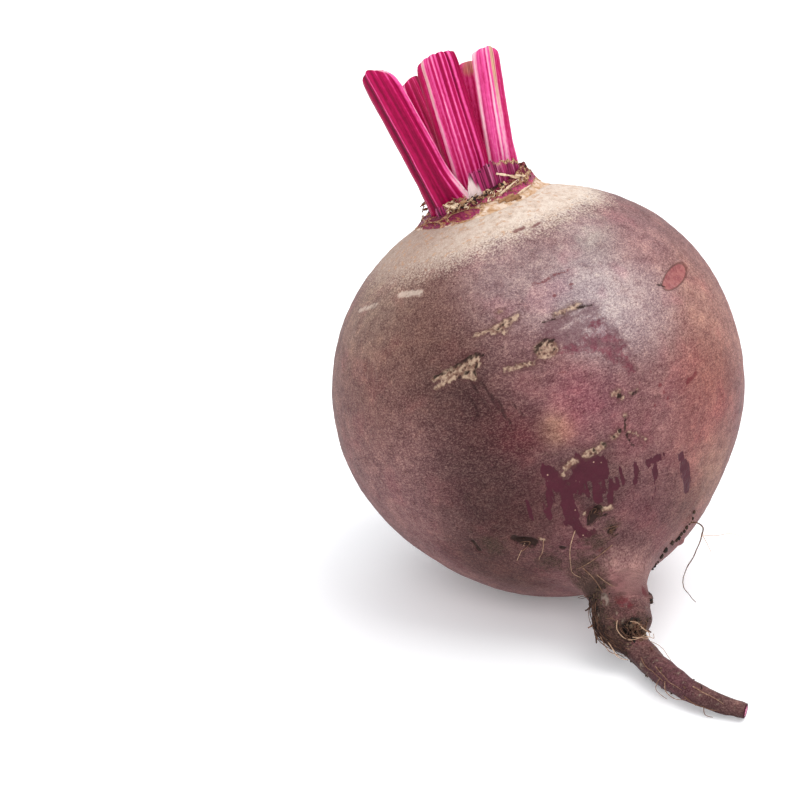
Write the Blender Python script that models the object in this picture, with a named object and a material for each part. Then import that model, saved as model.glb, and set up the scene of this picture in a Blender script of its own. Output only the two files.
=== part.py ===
# Whole beetroot with cut leaf stalks, resting on a small flat spot with its taproot forward.
# Metres, +Z up, the table at z = 0, the middle of the rest spot at the origin, +X to the right.

import math
import random

import bmesh
import bpy
from mathutils import Vector, noise

MM = 0.001
GAP = 0.3 * MM
SEED = 7

# Root: a round bulb whose lower front narrows into a neck, then a taproot that lies forward
BULB_CENTRE = Vector((0.0, 0.0, 40.6)) * MM
BULB_RADIUS = 42.3 * MM
CROWN_FLATTENING = 0.9 * MM
WAIST = 1.9 * MM
WAIST_BEARING = math.radians(45)
WAIST_ANGLE = math.radians(42)
WAIST_SPREAD = math.radians(26)
SLOPE_ANGLE = math.radians(62)
SLOPE_SPREAD = math.radians(30)
RIGHT_SLOPE = 1.3 * MM
UNDER_SLOPE = 1.7 * MM
UNDER_BEARING = math.radians(205)
TAIL_AXIS = Vector((0.284, -0.745, -0.603)).normalized()
NECK_RADIUS = 5.7 * MM
NECK_REACH = 47.0 * MM
NECK_ANGLE = math.asin(NECK_RADIUS / NECK_REACH)
NECK_LIFT = 5.2 * MM
FLARE_LEFT = math.radians(2.2)
FLARE_RIGHT = math.radians(4.6)
TAPROOT_PATH = [
    BULB_CENTRE + TAIL_AXIS * 38 * MM,
    BULB_CENTRE + TAIL_AXIS * NECK_REACH,
    BULB_CENTRE + Vector((13.9, -38.6, -31.8)) * MM,
    BULB_CENTRE + Vector((14.9, -41.8, -34.5)) * MM,
    BULB_CENTRE + Vector((17.4, -45.0, -36.5)) * MM,
    BULB_CENTRE + Vector((22.8, -55.4, -37.5)) * MM,
    BULB_CENTRE + Vector((27.0, -60.0, -38.0)) * MM,
    BULB_CENTRE + Vector((34.2, -63.8, -38.8)) * MM,
]
PATH_STEPS = 12
STEP_START = 6.5 * MM
STEP_DOWN = 5.5 * MM
TAPROOT_RADIUS = 2.9 * MM
TIP_RADIUS = 1.4 * MM
ROOT_SIDES = 48
BULB_RINGS = 28
TAIL_RINGS = 18
LUMP_SIZE = 30.0 * MM
LUMP_HEIGHT = 0.9 * MM

# Marks grown into the skin. Angle down from the crown's axis and bearing round it (-90 is the
# front) in degrees; half length, half width, height (less than 0 sinks) in mm; turn in degrees
MARKS = [
    (62.7, -108.0, 5.6, 2.4, -0.7, 12.0),
    (55.0, -95.0, 4.8, 1.6, -0.5, 8.0),
    (65.0, -83.5, 2.8, 2.6, -0.6, 0.0),
    (59.5, -73.0, 6.5, 1.2, -0.4, -4.0),
    (94.0, -71.8, 1.3, 4.0, -0.7, 8.0),
    (95.4, -78.0, 7.0, 1.6, 0.6, 14.0),
    (111.4, -86.3, 2.4, 1.8, -1.0, 10.0),
    (121.2, -82.4, 2.0, 1.4, 0.6, 0.0),
    (115.0, -107.0, 3.4, 1.8, -0.8, -12.0),
    (76.0, -107.0, 1.2, 6.0, -0.45, 26.0),
    (79.0, -103.5, 1.2, 6.0, -0.45, 26.0),
    (63.8, -32.1, 3.2, 2.6, -0.35, 40.0),
    (133.0, -50.0, 1.8, 1.5, 0.7, 0.0),
    (143.0, -48.5, 1.8, 1.5, 0.7, 0.0),
    (66.0, 24.0, 5.2, 1.8, -0.6, 6.0),
    (84.0, 71.0, 6.4, 1.7, 0.5, -10.0),
    (101.0, 128.0, 2.6, 2.2, -0.8, 0.0),
    (58.0, 118.0, 4.6, 1.5, -0.5, 5.0),
    (88.0, 172.0, 5.0, 1.8, -0.6, -8.0),
]
# How finely the skin is split: longest edge, and how far round a mark in shares of its size
MARK_PASSES = [(3.4 * MM, 2.0), (2.2 * MM, 1.6), (1.4 * MM, 1.3)]

# Side roots: place along the taproot from the neck's end, bearings from and to, how many,
# length and thickness
SIDE_ROOTS = [
    (-2.0, 8.0, 175.0, 220.0, 4, 3.6, 0.9),
    (5.5, 10.5, 55.0, 125.0, 4, 3.6, 0.9),
    (3.0, 12.0, -60.0, 10.0, 3, 2.6, 0.8),
]
SIDE_ROOT_STEPS = 6
LOWEST_SIDE_ROOT = 0.5 * MM

# Crown: the short stem that carries the leaf bases, on a flat seat on top of the bulb
CROWN_AXIS = Vector((-0.335, 0.085, 0.938)).normalized()
CROWN_SEAT = BULB_CENTRE + Vector((-12.5, 5.6, 37.4)) * MM
CROWN_RADIUS = 12.3 * MM
CROWN_TOP_RADIUS = 11.1 * MM
CROWN_RISE = 2.8 * MM
CROWN_SLANT = 0.15
CROWN_SIDES = 64
RIM_WIDTH = 0.7 * MM
RIM_RISE = 0.9 * MM
SCARS = 11
GOLDEN_ANGLE = math.radians(137.5)
SCAR_HALF_TURN = math.radians(19)
SCAR_HEIGHT = 0.45 * MM

# Leaf stalks: place on the crown (right, back), top from the foot (right, back, up), width,
# thickness, outward bearing in degrees (-90 faces the front), ribs on the outer side
STALKS = {
    "stalk_left": ((-6.0, -1.5), (-13.8, 0.6, 25.6), 7.5, 5.0, -118.0, 4),
    "stalk_back_left": ((-3.5, 5.3), (-10.0, 4.2, 22.4), 6.0, 3.8, 146.0, 3),
    "stalk_middle": ((0.0, 0.3), (-8.1, 1.1, 25.8), 8.5, 5.0, -104.0, 6),
    "stalk_back_right": ((3.6, 6.9), (-4.2, 4.6, 22.2), 6.0, 4.0, 70.0, 3),
    "stalk_right": ((6.3, 2.55), (-4.1, 1.3, 24.1), 5.8, 4.6, -64.0, 4),
}
STALK_SIDES = 28
STALK_RINGS = 8
BOW = 0.05
CUT_SLANT = 0.45
CUT_SCALLOP = 0.35 * MM

# Broken leaf bases: bearing on the crown in degrees from, to; height; wall thickness
STUBS = {
    "stub_front": (-98.0, -16.0, 5.6, 2.3),
    "stub_left": (-152.0, -112.0, 1.9, 1.5),
}


def curve_through(points, steps):
    """Points of a smooth curve through the given ones, whatever their spacing."""
    spans = [(b - a).length for a, b in zip(points, points[1:])]
    speeds = [(b - a) / span for a, b, span in zip(points, points[1:], spans)]
    slopes = [
        (v * e + w * d) / (d + e)
        for v, w, d, e in zip(speeds, speeds[1:], spans, spans[1:])
    ]
    slopes.insert(0, speeds[0] * 1.5 - slopes[0] * 0.5)
    slopes.append(speeds[-1] * 1.5 - slopes[-1] * 0.5)
    found = []
    for i, span in enumerate(spans):
        for k in range(steps):
            t = k / steps
            found.append(
                points[i] * (1 + 2 * t) * (1 - t) ** 2 + points[i + 1] * t * t * (3 - 2 * t)
                + (slopes[i] * (1 - t) - slopes[i + 1] * t) * t * (1 - t) * span
            )
    found.append(points[-1].copy())
    return found


class Path:
    """A curve with a frame carried along it without twist."""

    def __init__(self, points, steps, side):
        self.points = curve_through(points, steps)
        self.reach = [0.0]
        for a, b in zip(self.points, self.points[1:]):
            self.reach.append(self.reach[-1] + (b - a).length)
        self.frames = []
        across = side
        for i in range(len(self.points)):
            ahead = self.points[min(i + 1, len(self.points) - 1)]
            along = (ahead - self.points[max(i - 1, 0)]).normalized()
            across = (across - along * across.dot(along)).normalized()
            self.frames.append((across, along.cross(across)))

    def at(self, distance):
        """Place and the two vectors across the path at a distance from its start."""
        i = 0
        while i < len(self.reach) - 2 and self.reach[i + 1] < distance:
            i += 1
        t = (distance - self.reach[i]) / (self.reach[i + 1] - self.reach[i])
        vectors = [a.lerp(b, t).normalized() for a, b in zip(self.frames[i], self.frames[i + 1])]
        return self.points[i].lerp(self.points[i + 1], t), *vectors


def tail_frame():
    """Two vectors across the tail's axis, the first towards the right."""
    right = (Vector((1, 0, 0)) - TAIL_AXIS * TAIL_AXIS.x).normalized()
    return right, TAIL_AXIS.cross(right)


def bulb_reach(direction, angle, bearing):
    """Distance from the bulb's centre to its surface; the angle is measured from the tail's axis."""
    crown = max(direction.dot(CROWN_AXIS), 0.0)
    reach = BULB_RADIUS - CROWN_FLATTENING * crown ** 4
    waist = math.exp(-(((angle - WAIST_ANGLE) / WAIST_SPREAD) ** 2))
    reach -= WAIST * waist * (0.55 + 0.45 * math.cos(bearing - WAIST_BEARING))
    slope = math.exp(-(((angle - SLOPE_ANGLE) / SLOPE_SPREAD) ** 2))
    reach -= RIGHT_SLOPE * slope * max(math.cos(bearing), 0.0)
    reach -= UNDER_SLOPE * slope * max(math.cos(bearing - UNDER_BEARING), 0.0)
    reach += noise.noise(direction * BULB_RADIUS / LUMP_SIZE + Vector((SEED, 0, 0))) * LUMP_HEIGHT
    flare = FLARE_LEFT + (FLARE_RIGHT - FLARE_LEFT) * (0.5 + 0.5 * math.cos(bearing))
    return reach + NECK_LIFT * math.exp((NECK_ANGLE - angle) / flare)


def crown_frame():
    """Two vectors across the crown's axis, towards the right and the back."""
    right = (Vector((1, 0, 0)) - CROWN_AXIS * CROWN_AXIS.x).normalized()
    return right, CROWN_AXIS.cross(right)


def mark_offset(direction, mark):
    """Where a direction lies in a mark, as shares of its half length and half width."""
    down, round_, length, width, _, turn = mark
    down, round_, turn = math.radians(down), math.radians(round_), math.radians(turn)
    right, back = crown_frame()
    out = right * math.cos(round_) + back * math.sin(round_)
    middle = CROWN_AXIS * math.cos(down) + out * math.sin(down)
    east = CROWN_AXIS.cross(out)
    north = middle.cross(east)
    away = (direction - middle) * (BULB_RADIUS / MM)
    x, y = away.dot(east), away.dot(north)
    along = x * math.cos(turn) + y * math.sin(turn)
    beside = y * math.cos(turn) - x * math.sin(turn)
    return along / length, beside / width, direction.dot(middle) > 0.7


def mark_height(direction):
    """How far all marks lift or sink the skin, each sunk one with a low corky rim."""
    total = 0.0
    for mark in MARKS:
        x, y, near = mark_offset(direction, mark)
        reach = math.hypot(x, y)
        if not near or reach > 2.0:
            continue
        height = mark[4] * MM
        total += height * math.exp(-2.6 * reach * reach)
        if height < 0:
            total -= 0.4 * height * math.exp(-(((reach - 1.05) / 0.3) ** 2))
    return total


def in_a_mark(direction, margin):
    """Whether a direction lies in a mark or within a margin round it."""
    for mark in MARKS:
        x, y, near = mark_offset(direction, mark)
        if near and math.hypot(x, y) < margin:
            return True
    return False


def surface_along(direction):
    """The bulb's surface point in a direction from its centre."""
    right, other = tail_frame()
    angle = math.acos(max(min(direction.dot(TAIL_AXIS), 1.0), -1.0))
    bearing = math.atan2(direction.dot(other), direction.dot(right))
    return BULB_CENTRE + direction * (bulb_reach(direction, angle, bearing) + mark_height(direction))


def bulb_direction(angle, bearing):
    """The direction at an angle from the tail's axis and a bearing round it."""
    right, other = tail_frame()
    out = right * math.cos(bearing) + other * math.sin(bearing)
    return TAIL_AXIS * math.cos(angle) + out * math.sin(angle)


def taproot_radius(distance, length):
    """Radius of the taproot at a distance below the neck's end."""
    t = min(max(distance - STEP_START, 0.0) / STEP_DOWN, 1.0)
    shoulder = (NECK_RADIUS - TAPROOT_RADIUS) * (1 - t * t * (3 - 2 * t))
    return shoulder + TAPROOT_RADIUS + (TIP_RADIUS - TAPROOT_RADIUS) * (distance / length) ** 1.8


def add_ring(bm, points):
    """Vertices at the given points."""
    return [bm.verts.new(point) for point in points]


def join_rings(bm, rings):
    """Quads between each two neighbouring rings of equal length."""
    for a, b in zip(rings, rings[1:]):
        for k in range(len(a)):
            n = (k + 1) % len(a)
            bm.faces.new((a[k], a[n], b[n], b[k]))


def new_object(name, bm, material):
    """A smooth-shaded object with faces pointing out."""
    bmesh.ops.recalc_face_normals(bm, faces=bm.faces)
    mesh = bpy.data.meshes.new(name)
    bm.to_mesh(mesh)
    bm.free()
    mesh.shade_smooth()
    mesh.set_sharp_from_angle(angle=math.radians(50))
    mesh.materials.append(material)
    found = bpy.data.objects.new(name, mesh)
    bpy.context.scene.collection.objects.link(found)
    return found


def refine_marks(bm):
    """Split the mesh where marks are, and move the bulb's points onto its surface."""
    for longest, margin in MARK_PASSES:
        bmesh.ops.triangulate(bm, faces=bm.faces)
        bmesh.ops.beautify_fill(bm, faces=bm.faces, edges=bm.edges)
        edges = []
        for edge in bm.edges:
            middle = (edge.verts[0].co + edge.verts[1].co) / 2 - BULB_CENTRE
            if edge.calc_length() > longest and middle.length < NECK_REACH * 0.98:
                if in_a_mark(middle.normalized(), margin):
                    edges.append(edge)
        bmesh.ops.subdivide_edges(bm, edges=edges, cuts=1)
    bmesh.ops.triangulate(bm, faces=bm.faces)
    bmesh.ops.beautify_fill(bm, faces=bm.faces, edges=bm.edges)
    for vert in bm.verts:
        offset = vert.co - BULB_CENTRE
        if offset.length < NECK_REACH * 0.98:
            vert.co = surface_along(offset.normalized())


def make_root(material):
    """The bulb with its neck and taproot, cut flat where it rests and where the crown sits."""
    bm = bmesh.new()
    bearings = [math.tau * k / ROOT_SIDES for k in range(ROOT_SIDES)]
    rings = []
    for k in range(BULB_RINGS):
        angle = NECK_ANGLE + (math.pi - NECK_ANGLE) * (1 - (k + 1) / BULB_RINGS) ** 1.4
        rings.append(add_ring(bm, [surface_along(bulb_direction(angle, b)) for b in bearings]))
    path = taproot_path()
    start = path.reach[PATH_STEPS]
    length = path.reach[-1] - start
    for k in range(1, TAIL_RINGS + 1):
        distance = length * k / TAIL_RINGS
        place, right, other = path.at(start + distance)
        radius = taproot_radius(distance, length)
        rings.append(add_ring(bm, [
            place + (right * math.cos(b) + other * math.sin(b)) * radius for b in bearings
        ]))
    join_rings(bm, rings)
    pole = bm.verts.new(surface_along(-TAIL_AXIS))
    for k in range(ROOT_SIDES):
        bm.faces.new((pole, rings[0][(k + 1) % ROOT_SIDES], rings[0][k]))
    bm.faces.new(rings[-1])
    bmesh.ops.recalc_face_normals(bm, faces=bm.faces)
    refine_marks(bm)
    cut_flat(bm, Vector((0, 0, 0)), Vector((0, 0, -1)))
    cut_flat(bm, CROWN_SEAT, CROWN_AXIS)
    root = new_object("root", bm, material)
    join_side_roots(root, path, start, material)
    return root


def taproot_path():
    """The line that the neck and the taproot follow."""
    return Path(TAPROOT_PATH, PATH_STEPS, tail_frame()[0])


def make_side_root(name, start, heading, length, thickness, draw, material):
    """A thin wandering root that starts inside the taproot."""
    bm = bmesh.new()
    place, rings = start.copy(), []
    step = length / SIDE_ROOT_STEPS
    for k in range(SIDE_ROOT_STEPS + 1):
        across = heading.cross(Vector((0.3, 0.2, 1.0))).normalized()
        other = heading.cross(across)
        radius = thickness / 2 * (1.0 - 0.25 * k / SIDE_ROOT_STEPS)
        turns = [math.tau * i / 5 for i in range(5)]
        rings.append(add_ring(bm, [
            place + (across * math.cos(t) + other * math.sin(t)) * radius for t in turns
        ]))
        wander = Vector((draw.uniform(-1, 1), draw.uniform(-1, 1), draw.uniform(-1, 0.6)))
        heading = (heading + wander * 0.38).normalized()
        place = place + heading * step
        place.z = max(place.z, LOWEST_SIDE_ROOT)
    join_rings(bm, rings)
    bm.faces.new(rings[0])
    bm.faces.new(rings[-1])
    return new_object(name, bm, material)


def join_side_roots(root, path, start, material):
    """Grow the side roots out of the neck and the taproot, as one body with the root."""
    draw = random.Random(SEED)
    group = bpy.data.collections.new("side_roots")
    length = path.reach[-1] - start
    for first, last, turn_from, turn_to, count, reach, thickness in SIDE_ROOTS:
        for k in range(count):
            share = (k + 0.5) / count
            distance = (first + (last - first) * share) * MM
            bearing = math.radians(turn_from + (turn_to - turn_from) * draw.random())
            place, right, other = path.at(start + distance)
            out = right * math.cos(bearing) + other * math.sin(bearing)
            foot = place + out * (taproot_radius(max(distance, 0.0), length) - 0.9 * MM)
            heading = (out + right.cross(other) * 0.7 + Vector((0, 0, -0.25))).normalized()
            thin = make_side_root(f"side_root_{len(group.objects)}", foot, heading,
                                  reach * MM * draw.uniform(0.7, 1.2), thickness * MM, draw, material)
            bpy.context.scene.collection.objects.unlink(thin)
            group.objects.link(thin)
    union = root.modifiers.new("side_roots", "BOOLEAN")
    union.operation = "UNION"
    union.operand_type = "COLLECTION"
    union.collection = group
    bpy.context.view_layer.update()
    joined = bpy.data.meshes.new_from_object(root.evaluated_get(bpy.context.evaluated_depsgraph_get()))
    root.modifiers.clear()
    root.data = joined
    keep_largest_body(joined)
    for thin in list(group.objects):
        bpy.data.objects.remove(thin)
    bpy.data.collections.remove(group)


def keep_largest_body(mesh):
    """Drop loose scraps and sealed hollows that a union has left."""
    bm = bmesh.new()
    bm.from_mesh(mesh)
    left = set(bm.verts)
    bodies = []
    while left:
        body, edge_of = set(), [left.pop()]
        while edge_of:
            vert = edge_of.pop()
            body.add(vert)
            for edge in vert.link_edges:
                other = edge.other_vert(vert)
                if other in left:
                    left.discard(other)
                    edge_of.append(other)
        bodies.append(body)
    bodies.sort(key=len)
    scraps = [vert for body in bodies[:-1] for vert in body]
    bmesh.ops.delete(bm, geom=scraps, context="VERTS")
    bm.to_mesh(mesh)
    bm.free()


def cut_flat(bm, place, normal):
    """Take away what lies beyond a plane and close the cut."""
    geometry = bm.verts[:] + bm.edges[:] + bm.faces[:]
    bmesh.ops.bisect_plane(bm, geom=geometry, plane_co=place, plane_no=normal, clear_outer=True)
    bmesh.ops.holes_fill(bm, edges=[e for e in bm.edges if e.is_boundary])


def on_crown(right, back, up):
    """A place given on the crown's seat."""
    across, away = crown_frame()
    return CROWN_SEAT + across * right + away * back + CROWN_AXIS * up


def crown_floor(right):
    """Height of the crown's top, which slopes up to the right."""
    return CROWN_RISE + CROWN_SLANT * right


def leaf_scar(bearing, level):
    """How far the lens-shaped leaf scars stand out of the crown's side at a bearing and level."""
    total = 0.0
    for k in range(SCARS):
        middle = k * GOLDEN_ANGLE
        turn = (bearing - middle + math.pi) % math.tau - math.pi
        reach = math.hypot(turn / SCAR_HALF_TURN, (level - 0.3 - 0.4 * (k % 2)) / 0.35)
        total += math.exp(-2 * reach * reach)
    return total * SCAR_HEIGHT


def crown_profile(bearing):
    """Radius and height of the crown's side and rim at a bearing, from its foot to its top."""
    ragged = 0.55 + 0.45 * math.sin(7 * bearing + 1.3) * math.sin(3 * bearing)
    top = crown_floor(CROWN_TOP_RADIUS * math.cos(bearing))
    side = []
    for level in (0.0, 0.2, 0.4, 0.6, 0.8, 1.0):
        radius = CROWN_RADIUS + (CROWN_TOP_RADIUS - CROWN_RADIUS) * level ** 0.7
        side.append((radius + leaf_scar(bearing, level), GAP + (top - GAP) * level))
    return side + [
        (CROWN_TOP_RADIUS - 0.1 * MM, top + RIM_RISE * ragged),
        (CROWN_TOP_RADIUS - RIM_WIDTH, top + RIM_RISE * ragged),
        (CROWN_TOP_RADIUS - RIM_WIDTH - 0.15 * MM, top),
    ]


def make_crown(material):
    """The low stem with a ragged rim of dried leaf bases round a sloping top."""
    bm = bmesh.new()
    sides = [math.tau * k / CROWN_SIDES for k in range(CROWN_SIDES)]
    profiles = [crown_profile(b) for b in sides]
    rings = []
    for i in range(len(profiles[0])):
        points = []
        for bearing, profile in zip(sides, profiles):
            radius, height = profile[i]
            points.append(on_crown(radius * math.cos(bearing), radius * math.sin(bearing), height))
        rings.append(add_ring(bm, points))
    join_rings(bm, rings)
    bm.faces.new(rings[0])
    bm.faces.new(rings[-1])
    return new_object("crown", bm, material)


def stalk_section(width, thickness, ribs):
    """Outline of a leaf stalk: ribbed on the outer side, slightly hollow on the inner."""
    points = []
    for k in range(STALK_SIDES):
        turn = math.tau * k / STALK_SIDES
        across, out = math.sin(turn), math.cos(turn)
        if out > -0.15:
            rib = 1.0 + 0.07 * math.cos(ribs * turn * 2.0)
            points.append((across * width / 2 * rib, out * thickness / 2 * rib))
        else:
            hollow = 0.55 * math.cos(across * math.pi / 2) * thickness / 2
            points.append((across * width / 2, out * thickness / 2 + hollow))
    return points


def make_stalk(name, values, material):
    """A cut leaf stalk that stands on the crown and narrows a little to its slanting top."""
    (right, back), top, width, thickness, bearing, ribs = values
    foot = on_crown(right * MM, back * MM, crown_floor(right * MM) + GAP)
    lift = Vector(top) * MM
    bow = CROWN_AXIS * lift.length * BOW
    turn = math.radians(bearing)
    out = on_crown(math.cos(turn), math.sin(turn), 0) - CROWN_SEAT
    slope = on_crown(-CROWN_SLANT, 0, 1) - CROWN_SEAT
    section = stalk_section(width * MM, thickness * MM, ribs)
    bm = bmesh.new()
    rings = []
    for i in range(STALK_RINGS + 2):
        t = min(i / STALK_RINGS, 1.0)
        middle = foot + lift * t + bow * (t - t * t) * 2
        along = (lift + bow * (2 - 4 * t)).normalized()
        across = along.cross(out).normalized()
        outward = across.cross(along)
        size = 1.0 + 0.03 * (1 - t) ** 3 - 0.06 * t
        if i > STALK_RINGS:
            size *= 0.84
        points = []
        for k, (a, o) in enumerate(section):
            point = middle + across * a * size + outward * o * size
            if i == 0:
                point -= along * (point - foot).dot(slope) / along.dot(slope)
            if i >= STALK_RINGS:
                scallop = CUT_SCALLOP * math.cos(ribs * 2 * math.tau * k / STALK_SIDES)
                rounding = -0.5 * a * a / (width * MM) + (0.45 * MM if i > STALK_RINGS else scallop)
                point += along * (CUT_SLANT * o + rounding)
            points.append(point)
        rings.append(add_ring(bm, points))
    join_rings(bm, rings)
    bm.faces.new(rings[0])
    bm.faces.new(rings[-1])
    return new_object(name, bm, material)


def make_stub(name, values, material):
    """A broken leaf base: a curved ribbed wall with a torn top along the crown's rim."""
    first, last, height, wall = values
    steps = max(int((last - first) / 4), 6)
    outer = CROWN_TOP_RADIUS - RIM_WIDTH - 0.5 * MM
    bm = bmesh.new()
    rings = []
    for k in range(steps + 1):
        t = k / steps
        bearing = math.radians(first + (last - first) * t)
        rise = height * MM * (0.35 + 0.65 * math.sin(math.pi * (0.12 + 0.76 * t)) ** 0.7)
        rise += 0.55 * MM * noise.noise(Vector((k * 1.7, SEED, height)))
        rib = 0.22 * MM * math.cos(math.pi * k)
        thick = wall * MM * (0.45 + 0.55 * math.sin(math.pi * (0.08 + 0.84 * t)))
        side = [(outer - thick, 0), (outer + rib, 0), (outer + rib + 0.1 * rise, rise),
                (outer - 0.6 * thick + 0.05 * rise, rise * 0.94)]
        points = []
        for radius, up in side:
            right, back = radius * math.cos(bearing), radius * math.sin(bearing)
            floor = crown_floor(right) + GAP
            points.append(on_crown(right, back, floor + up))
        rings.append(add_ring(bm, points))
    join_rings(bm, rings)
    bm.faces.new(rings[0])
    bm.faces.new(rings[-1])
    return new_object(name, bm, material)


def make_material(name, colour, roughness):
    """A plain Principled material."""
    material = bpy.data.materials.new(name)
    material.use_nodes = True
    shader = material.node_tree.nodes["Principled BSDF"]
    shader.inputs["Base Color"].default_value = (*colour, 1.0)
    shader.inputs["Roughness"].default_value = roughness
    shader.inputs["Metallic"].default_value = 0.0
    return material


def main():
    for old in list(bpy.data.objects):
        bpy.data.objects.remove(old)
    skin = make_material("root_skin", (0.27, 0.15, 0.15), 0.65)
    flesh = make_material("crown_purple", (0.23, 0.03, 0.08), 0.5)
    stalk = make_material("stalk_pink", (0.52, 0.03, 0.16), 0.4)
    make_root(skin)
    make_crown(flesh)
    for name, values in STALKS.items():
        make_stalk(name, values, stalk)
    for name, values in STUBS.items():
        make_stub(name, values, flesh)


if __name__ == "__main__":
    main()
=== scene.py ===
import math
import random

import bpy
import numpy as np
from bpy.props import FloatProperty, FloatVectorProperty, PointerProperty
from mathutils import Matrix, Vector, noise


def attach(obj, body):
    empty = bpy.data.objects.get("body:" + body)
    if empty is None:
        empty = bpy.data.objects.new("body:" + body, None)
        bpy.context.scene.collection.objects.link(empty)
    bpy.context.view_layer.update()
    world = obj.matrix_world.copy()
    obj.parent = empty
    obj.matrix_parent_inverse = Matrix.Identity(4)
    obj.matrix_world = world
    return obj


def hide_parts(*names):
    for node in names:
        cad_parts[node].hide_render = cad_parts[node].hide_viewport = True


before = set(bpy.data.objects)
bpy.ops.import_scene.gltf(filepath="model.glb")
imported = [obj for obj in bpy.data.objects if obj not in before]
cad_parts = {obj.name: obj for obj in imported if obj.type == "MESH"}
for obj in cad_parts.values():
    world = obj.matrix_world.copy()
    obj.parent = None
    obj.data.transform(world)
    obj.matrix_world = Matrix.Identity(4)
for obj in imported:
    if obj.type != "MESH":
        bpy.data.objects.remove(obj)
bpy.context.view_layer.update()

bl_info = {
    "name": "Beetroot",
    "version": (1, 0, 0),
    "blender": (4, 5, 0),
    "location": "View3D > Sidebar > Beetroot",
    "description": "Dresses a whole beetroot with its skin, crown, cut leaf stalks and rootlets",
    "category": "Object",
}

MM = 0.001
SEED = 7

# The root's form, in metres, the same that its solid has
BULB_CENTRE = np.array((0.0, 0.0, 40.6)) * MM
BULB_RADIUS = 42.3 * MM
CROWN_FLATTENING = 0.9 * MM
WAIST = 1.9 * MM
WAIST_BEARING = math.radians(45)
WAIST_ANGLE = math.radians(42)
WAIST_SPREAD = math.radians(26)
SLOPE_ANGLE = math.radians(62)
SLOPE_SPREAD = math.radians(30)
RIGHT_SLOPE = 1.3 * MM
UNDER_SLOPE = 1.7 * MM
UNDER_BEARING = math.radians(205)
TAIL_AXIS = np.array((0.284, -0.745, -0.603)) / math.sqrt(0.284 ** 2 + 0.745 ** 2 + 0.603 ** 2)
NECK_RADIUS = 5.7 * MM
NECK_REACH = 47.0 * MM
NECK_ANGLE = math.asin(NECK_RADIUS / NECK_REACH)
NECK_LIFT = 5.2 * MM
FLARE_LEFT = math.radians(2.2)
FLARE_RIGHT = math.radians(4.6)
TAPROOT_PATH = [
    TAIL_AXIS * 38 * MM,
    TAIL_AXIS * NECK_REACH,
    np.array((13.9, -38.6, -31.8)) * MM,
    np.array((14.9, -41.8, -34.5)) * MM,
    np.array((17.4, -45.0, -36.5)) * MM,
    np.array((22.8, -55.4, -37.5)) * MM,
    np.array((27.0, -60.0, -38.0)) * MM,
    np.array((34.2, -63.8, -38.8)) * MM,
]
PATH_STEPS = 12
STEP_START = 6.5 * MM
STEP_DOWN = 5.5 * MM
TAPROOT_RADIUS = 2.9 * MM
TIP_RADIUS = 1.4 * MM
LUMP_SIZE = 30.0 * MM
LUMP_HEIGHT = 0.9 * MM
SKIN_SIDES = 416
SKIN_RINGS = 250
TAPROOT_RINGS = 112

# The crown's form and the stalks, the same that their solids have
CROWN_AXIS = np.array((-0.335, 0.085, 0.938)) / math.sqrt(0.335 ** 2 + 0.085 ** 2 + 0.938 ** 2)
CROWN_SEAT = BULB_CENTRE + np.array((-12.5, 5.6, 37.4)) * MM
CROWN_RADIUS = 12.3 * MM
CROWN_TOP_RADIUS = 11.1 * MM
CROWN_RISE = 2.8 * MM
CROWN_SLANT = 0.15
RIM_WIDTH = 0.7 * MM
RIM_RISE = 0.9 * MM
# Each stalk: where its foot stands and where its top lies from there, in mm; width and thickness
# in mm, the bearing that it faces, and its number of ribs
STALKS = {
    "stalk_left": ((-6.0, -1.5), (-13.8, 0.6, 25.6), 7.5, 5.0, -118.0, 4),
    "stalk_back_left": ((-3.5, 5.3), (-10.0, 4.2, 22.4), 6.0, 3.8, 146.0, 3),
    "stalk_middle": ((0.0, 0.3), (-8.1, 1.1, 25.8), 8.5, 5.0, -104.0, 6),
    "stalk_back_right": ((3.6, 6.9), (-4.2, 4.6, 22.2), 6.0, 4.0, 70.0, 3),
    "stalk_right": ((6.3, 2.55), (-4.1, 1.3, 24.1), 5.8, 4.6, -64.0, 4),
}
BOW = 0.05
STALK_SIDES = 120
STALK_RINGS = 70
CROWN_SIDES = 360
CROWN_RINGS = 34
FOOT_SINK = 0.25 * MM

# The camera: lens and film in mm, the picture's width in pixels and the bulb's centre in it
LENS = 100.0
FILM = 36.0
PICTURE = 800.0
CENTRE_IN_PICTURE = (541.0, 391.0)
VIEW_ELEVATION = math.radians(20)

# The lights: name, place and width in metres, power in watts and colour
SOFTBOXES = [
    ("key_softbox", (1.3, -0.3, 3.7), 2.8, 62.0, (1.0, 0.985, 0.96)),
    ("back_softbox", (0.8, 2.8, 2.2), 2.6, 38.0, (0.97, 0.985, 1.0)),
    ("front_softbox", (-0.4, -3.2, 1.9), 2.6, 52.0, (1.0, 1.0, 1.0)),
]

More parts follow.
